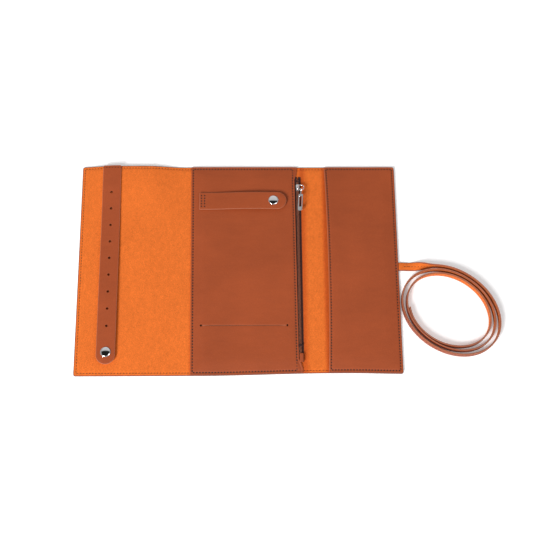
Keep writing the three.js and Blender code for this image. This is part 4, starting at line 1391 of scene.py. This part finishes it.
def build_strap_box():
    """Two short columns of stitches hold the ring strap's end."""
    left = low("ring_strap_anchor").x
    middle = (low("ring_strap").y + high("ring_strap").y) / 2
    reach = 2.5 * sizes().stitch_pitch
    rows = [((left + x, middle + reach), (left + x, middle - reach)) for x in (2.3 * MM, 5.7 * MM)]
    level = low("ring_strap_anchor").z + STRAP_BACKING + STRAP_LEATHER + 0.15 * MM
    seam_piece("stitches_ring_strap", rows, lambda x, y: level, ["seam_ring_strap"], body="centre")


def build_outside_seams():
    """The same seams seen from outside: stitches let into the cover along its edge."""
    inset = sizes().stitch_inset
    top, bottom = CASE_TOP - inset, CASE_BOTTOM + inset
    left, right = CASE_LEFT + inset, CASE_RIGHT - inset

    def level(x, y):
        return 0.25 * MM

    for section in SECTIONS:
        name, x0, x1, first, second, _ = section
        start, end = max(x0, left), min(x1, right)
        rows = [((start, top), (end, top)), ((start, bottom), (end, bottom))]
        if name == "left_wing":
            rows.append(((left, top), (left, bottom)))
        if name == "right_wing":
            rows.append(((right, top), (right, bottom)))
        bm = bmesh.new()
        for row in rows:
            stitch_row(bm, *row, level, 0.6)
        piece = make_piece(f"outside_stitches_{name}", bm, [sewing_thread()])
        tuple(section_bend(section)[2])
        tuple(section_bend(section)[3])
        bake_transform(piece)


def finish_hidden_nodes():
    """Pieces that stay as they are, inside the case or in its edge, get their real finishes."""
    for node, finish in (("tie_tail", smooth_leather), ("ring_snap_post", polished_nickel),
                         ("stud_snap_post", polished_nickel)):
        mesh = frame["nodes"][node].data
        mesh.materials.clear()
        mesh.materials.append(finish())


# ---------------------------------------------------------------- stage

CAMERA_PLACE = Vector((6.614, -334.703, 1051.55)) * MM
CAMERA_PITCH = math.radians(17.744)
CAMERA_YAW = math.radians(-1.219)
CAMERA_ROLL = math.radians(-0.476)
CAMERA_LENS = 70.92


def build_camera():
    data = bpy.data.cameras.new("camera")
    data.lens = CAMERA_LENS
    data.sensor_width = 36
    data.clip_start, data.clip_end = 0.05, 20
    camera = bpy.data.objects.new("camera", data)
    turn = (Matrix.Rotation(CAMERA_YAW, 4, "Y") @ Matrix.Rotation(CAMERA_PITCH, 4, "X")
            @ Matrix.Rotation(CAMERA_ROLL, 4, "Z"))
    camera.matrix_world = Matrix.Translation(CAMERA_PLACE) @ turn
    bpy.context.scene.collection.objects.link(camera)
    bpy.context.scene.camera = camera


def build_floor():
    bm = bmesh.new()
    bmesh.ops.create_circle(bm, cap_ends=True, segments=64, radius=6.0)
    floor = make_piece("floor", bm, [])
    n = Nodes("pale_floor")
    tone = n.shade((0.88, 0.88, 0.885), n.noise(3.0), 0.995, 1.005)
    glow = {"Emission_Color": (1.0, 1.0, 1.0, 1.0), "Emission_Strength": 0.24}
    floor.data.materials.append(n.finish(tone, 0.75, **glow))
    floor.location.z = -0.0001


def add_softbox(name, place, target, width, depth, power):
    data = bpy.data.lights.new(name, "AREA")
    data.shape = "RECTANGLE"
    data.size, data.size_y = width, depth
    data.energy = power
    light = bpy.data.objects.new(name, data)
    light.matrix_world = Matrix.Translation(place) @ (
        (Vector(target) - Vector(place)).to_track_quat("-Z", "Y").to_matrix().to_4x4()
    )
    bpy.context.scene.collection.objects.link(light)


def build_room():
    """A bright studio: pale walls, and a dark strip of ceiling that polished metal can reflect."""
    world = bpy.data.worlds.new("studio")
    bpy.context.scene.world = world
    n = Nodes("studio", world)
    direction = n.add("ShaderNodeTexCoord").outputs["Generated"]
    parts = n.add("ShaderNodeSeparateXYZ", {0: direction}).outputs
    slope = n.spread(n.reckon("DIVIDE", parts["Y"], parts["Z"]), 0.0, 1.0, -1.0, 1.0)
    ramp = n.add("ShaderNodeValToRGB", {"Fac": slope})
    stops = ramp.color_ramp.elements
    stops[0].position, stops[0].color = 0.30, (0.85, 0.85, 0.85, 1)
    stops[1].position, stops[1].color = 0.42, (0.03, 0.03, 0.03, 1)
    for position, value in ((0.64, 0.03), (0.69, 1.35), (1.0, 1.6)):
        stops.new(position).color = (value, value, value, 1)
    sideways = n.reckon("ABSOLUTE", n.reckon("DIVIDE", parts["X"], parts["Z"]))
    walls = n.spread(sideways, 0.0, 1.0, 0.45, 0.75)
    mixed = {"Factor": walls, 6: ramp.outputs["Color"], 7: (0.9, 0.9, 0.9, 1)}
    lighter = n.add("ShaderNodeMix", mixed, data_type="RGBA").outputs[2]
    background = n.tree.nodes["Background"]
    n.tree.links.new(lighter, background.inputs["Color"])
    background.inputs["Strength"].default_value = 0.42


def build_stage():
    build_camera()
    build_floor()
    build_room()
    add_softbox("softbox_left", (-1.15, -1.6, 1.75), (0, 0, 0), 0.7, 1.1, 80)
    add_softbox("softbox_right", (1.2, -0.7, 2.2), (0, 0, 0), 0.9, 1.5, 12)
    settings = bpy.context.scene.view_settings
    settings.view_transform = "Standard"
    settings.look = "None"


# ---------------------------------------------------------------- operators


class CASE_OT_stage(bpy.types.Operator):
    """Make the camera, the floor, the room and the softboxes"""

    bl_idname = "jewellery_case.stage"
    bl_label = "Stage"

    def execute(self, context):
        build_stage()
        return {"FINISHED"}


class CASE_OT_tie(bpy.types.Operator):
    """Lay the tie strap from the right wing into its coil"""

    bl_idname = "jewellery_case.tie"
    bl_label = "Tie Strap"

    def execute(self, context):
        build_tie()
        return {"FINISHED"}


class CASE_OT_cover(bpy.types.Operator):
    """Cut the outer leather and its seams"""

    bl_idname = "jewellery_case.cover"
    bl_label = "Cover"

    def execute(self, context):
        build_cover()
        build_outside_seams()
        return {"FINISHED"}


class CASE_OT_lining(bpy.types.Operator):
    """Lay the suede lining on the cover"""

    bl_idname = "jewellery_case.lining"
    bl_label = "Lining"

    def execute(self, context):
        build_lining()
        return {"FINISHED"}


class CASE_OT_pockets(bpy.types.Operator):
    """Make the centre pocket with its slit, the cloth divider and the right pocket"""

    bl_idname = "jewellery_case.pockets"
    bl_label = "Pockets"

    def execute(self, context):
        build_centre_pocket()
        build_divider()
        build_right_pocket()
        return {"FINISHED"}


class CASE_OT_straps(bpy.types.Operator):
    """Make the ring strap and the pierced strap for ear studs"""

    bl_idname = "jewellery_case.straps"
    bl_label = "Straps"

    def execute(self, context):
        build_ring_strap()
        build_stud_strap()
        return {"FINISHED"}


class CASE_OT_snaps(bpy.types.Operator):
    """Turn the caps, sockets and studs of the two snaps"""

    bl_idname = "jewellery_case.snaps"
    bl_label = "Snaps"

    def execute(self, context):
        build_snap("ring_snap", "ring_strap", "centre")
        build_snap("stud_snap", "stud_strap", "left_wing")
        return {"FINISHED"}


class CASE_OT_zip(bpy.types.Operator):
    """Make the zip's tapes, teeth, stops and leather end tab"""

    bl_idname = "jewellery_case.zip"
    bl_label = "Zip"

    def execute(self, context):
        build_tapes()
        build_teeth("left", -1)
        build_teeth("right", 1)
        build_zip_ends()
        return {"FINISHED"}


class CASE_OT_slider(bpy.types.Operator):
    """Make the zip's slider, link and pull tab"""

    bl_idname = "jewellery_case.slider"
    bl_label = "Slider"

    def execute(self, context):
        build_slider()
        build_link()
        build_pull()
        return {"FINISHED"}


class CASE_OT_seams(bpy.types.Operator):
    """Sew the seams inside the case, stitch by stitch"""

    bl_idname = "jewellery_case.seams"
    bl_label = "Seams"

    def execute(self, context):
        build_seams()
        build_strap_box()
        finish_hidden_nodes()
        return {"FINISHED"}


class CASE_PT_panel(bpy.types.Panel):
    """The case's sizes, colours and steps"""

    bl_idname = "CASE_PT_panel"
    bl_label = "Jewellery Case"
    bl_space_type = "VIEW_3D"
    bl_region_type = "UI"
    bl_category = "Jewellery Case"

    def draw(self, context):
        column = self.layout.column(align=True)
        for group in (context.scene.case_sizes, context.scene.case_colours):
            for name in group.bl_rna.properties.keys():
                if name not in ("rna_type", "name"):
                    column.prop(group, name)
        for step in STEPS:
            self.layout.operator(step.bl_idname)


STEPS = (
    CASE_OT_stage,
    CASE_OT_tie,
    CASE_OT_cover,
    CASE_OT_lining,
    CASE_OT_pockets,
    CASE_OT_straps,
    CASE_OT_snaps,
    CASE_OT_zip,
    CASE_OT_slider,
    CASE_OT_seams,
)
CLASSES = (CaseSizes, CaseColours, *STEPS, CASE_PT_panel)


def register():
    for cls in CLASSES:
        bpy.utils.register_class(cls)
    bpy.types.Scene.case_sizes = bpy.props.PointerProperty(type=CaseSizes)
    bpy.types.Scene.case_colours = bpy.props.PointerProperty(type=CaseColours)


def unregister():
    del bpy.types.Scene.case_colours
    del bpy.types.Scene.case_sizes
    for cls in reversed(CLASSES):
        bpy.utils.unregister_class(cls)


def main():
    register()
    for step in STEPS:
        group, action = step.bl_idname.split(".")
        getattr(getattr(bpy.ops, group), action)()


if __name__ == "__main__":
    main()
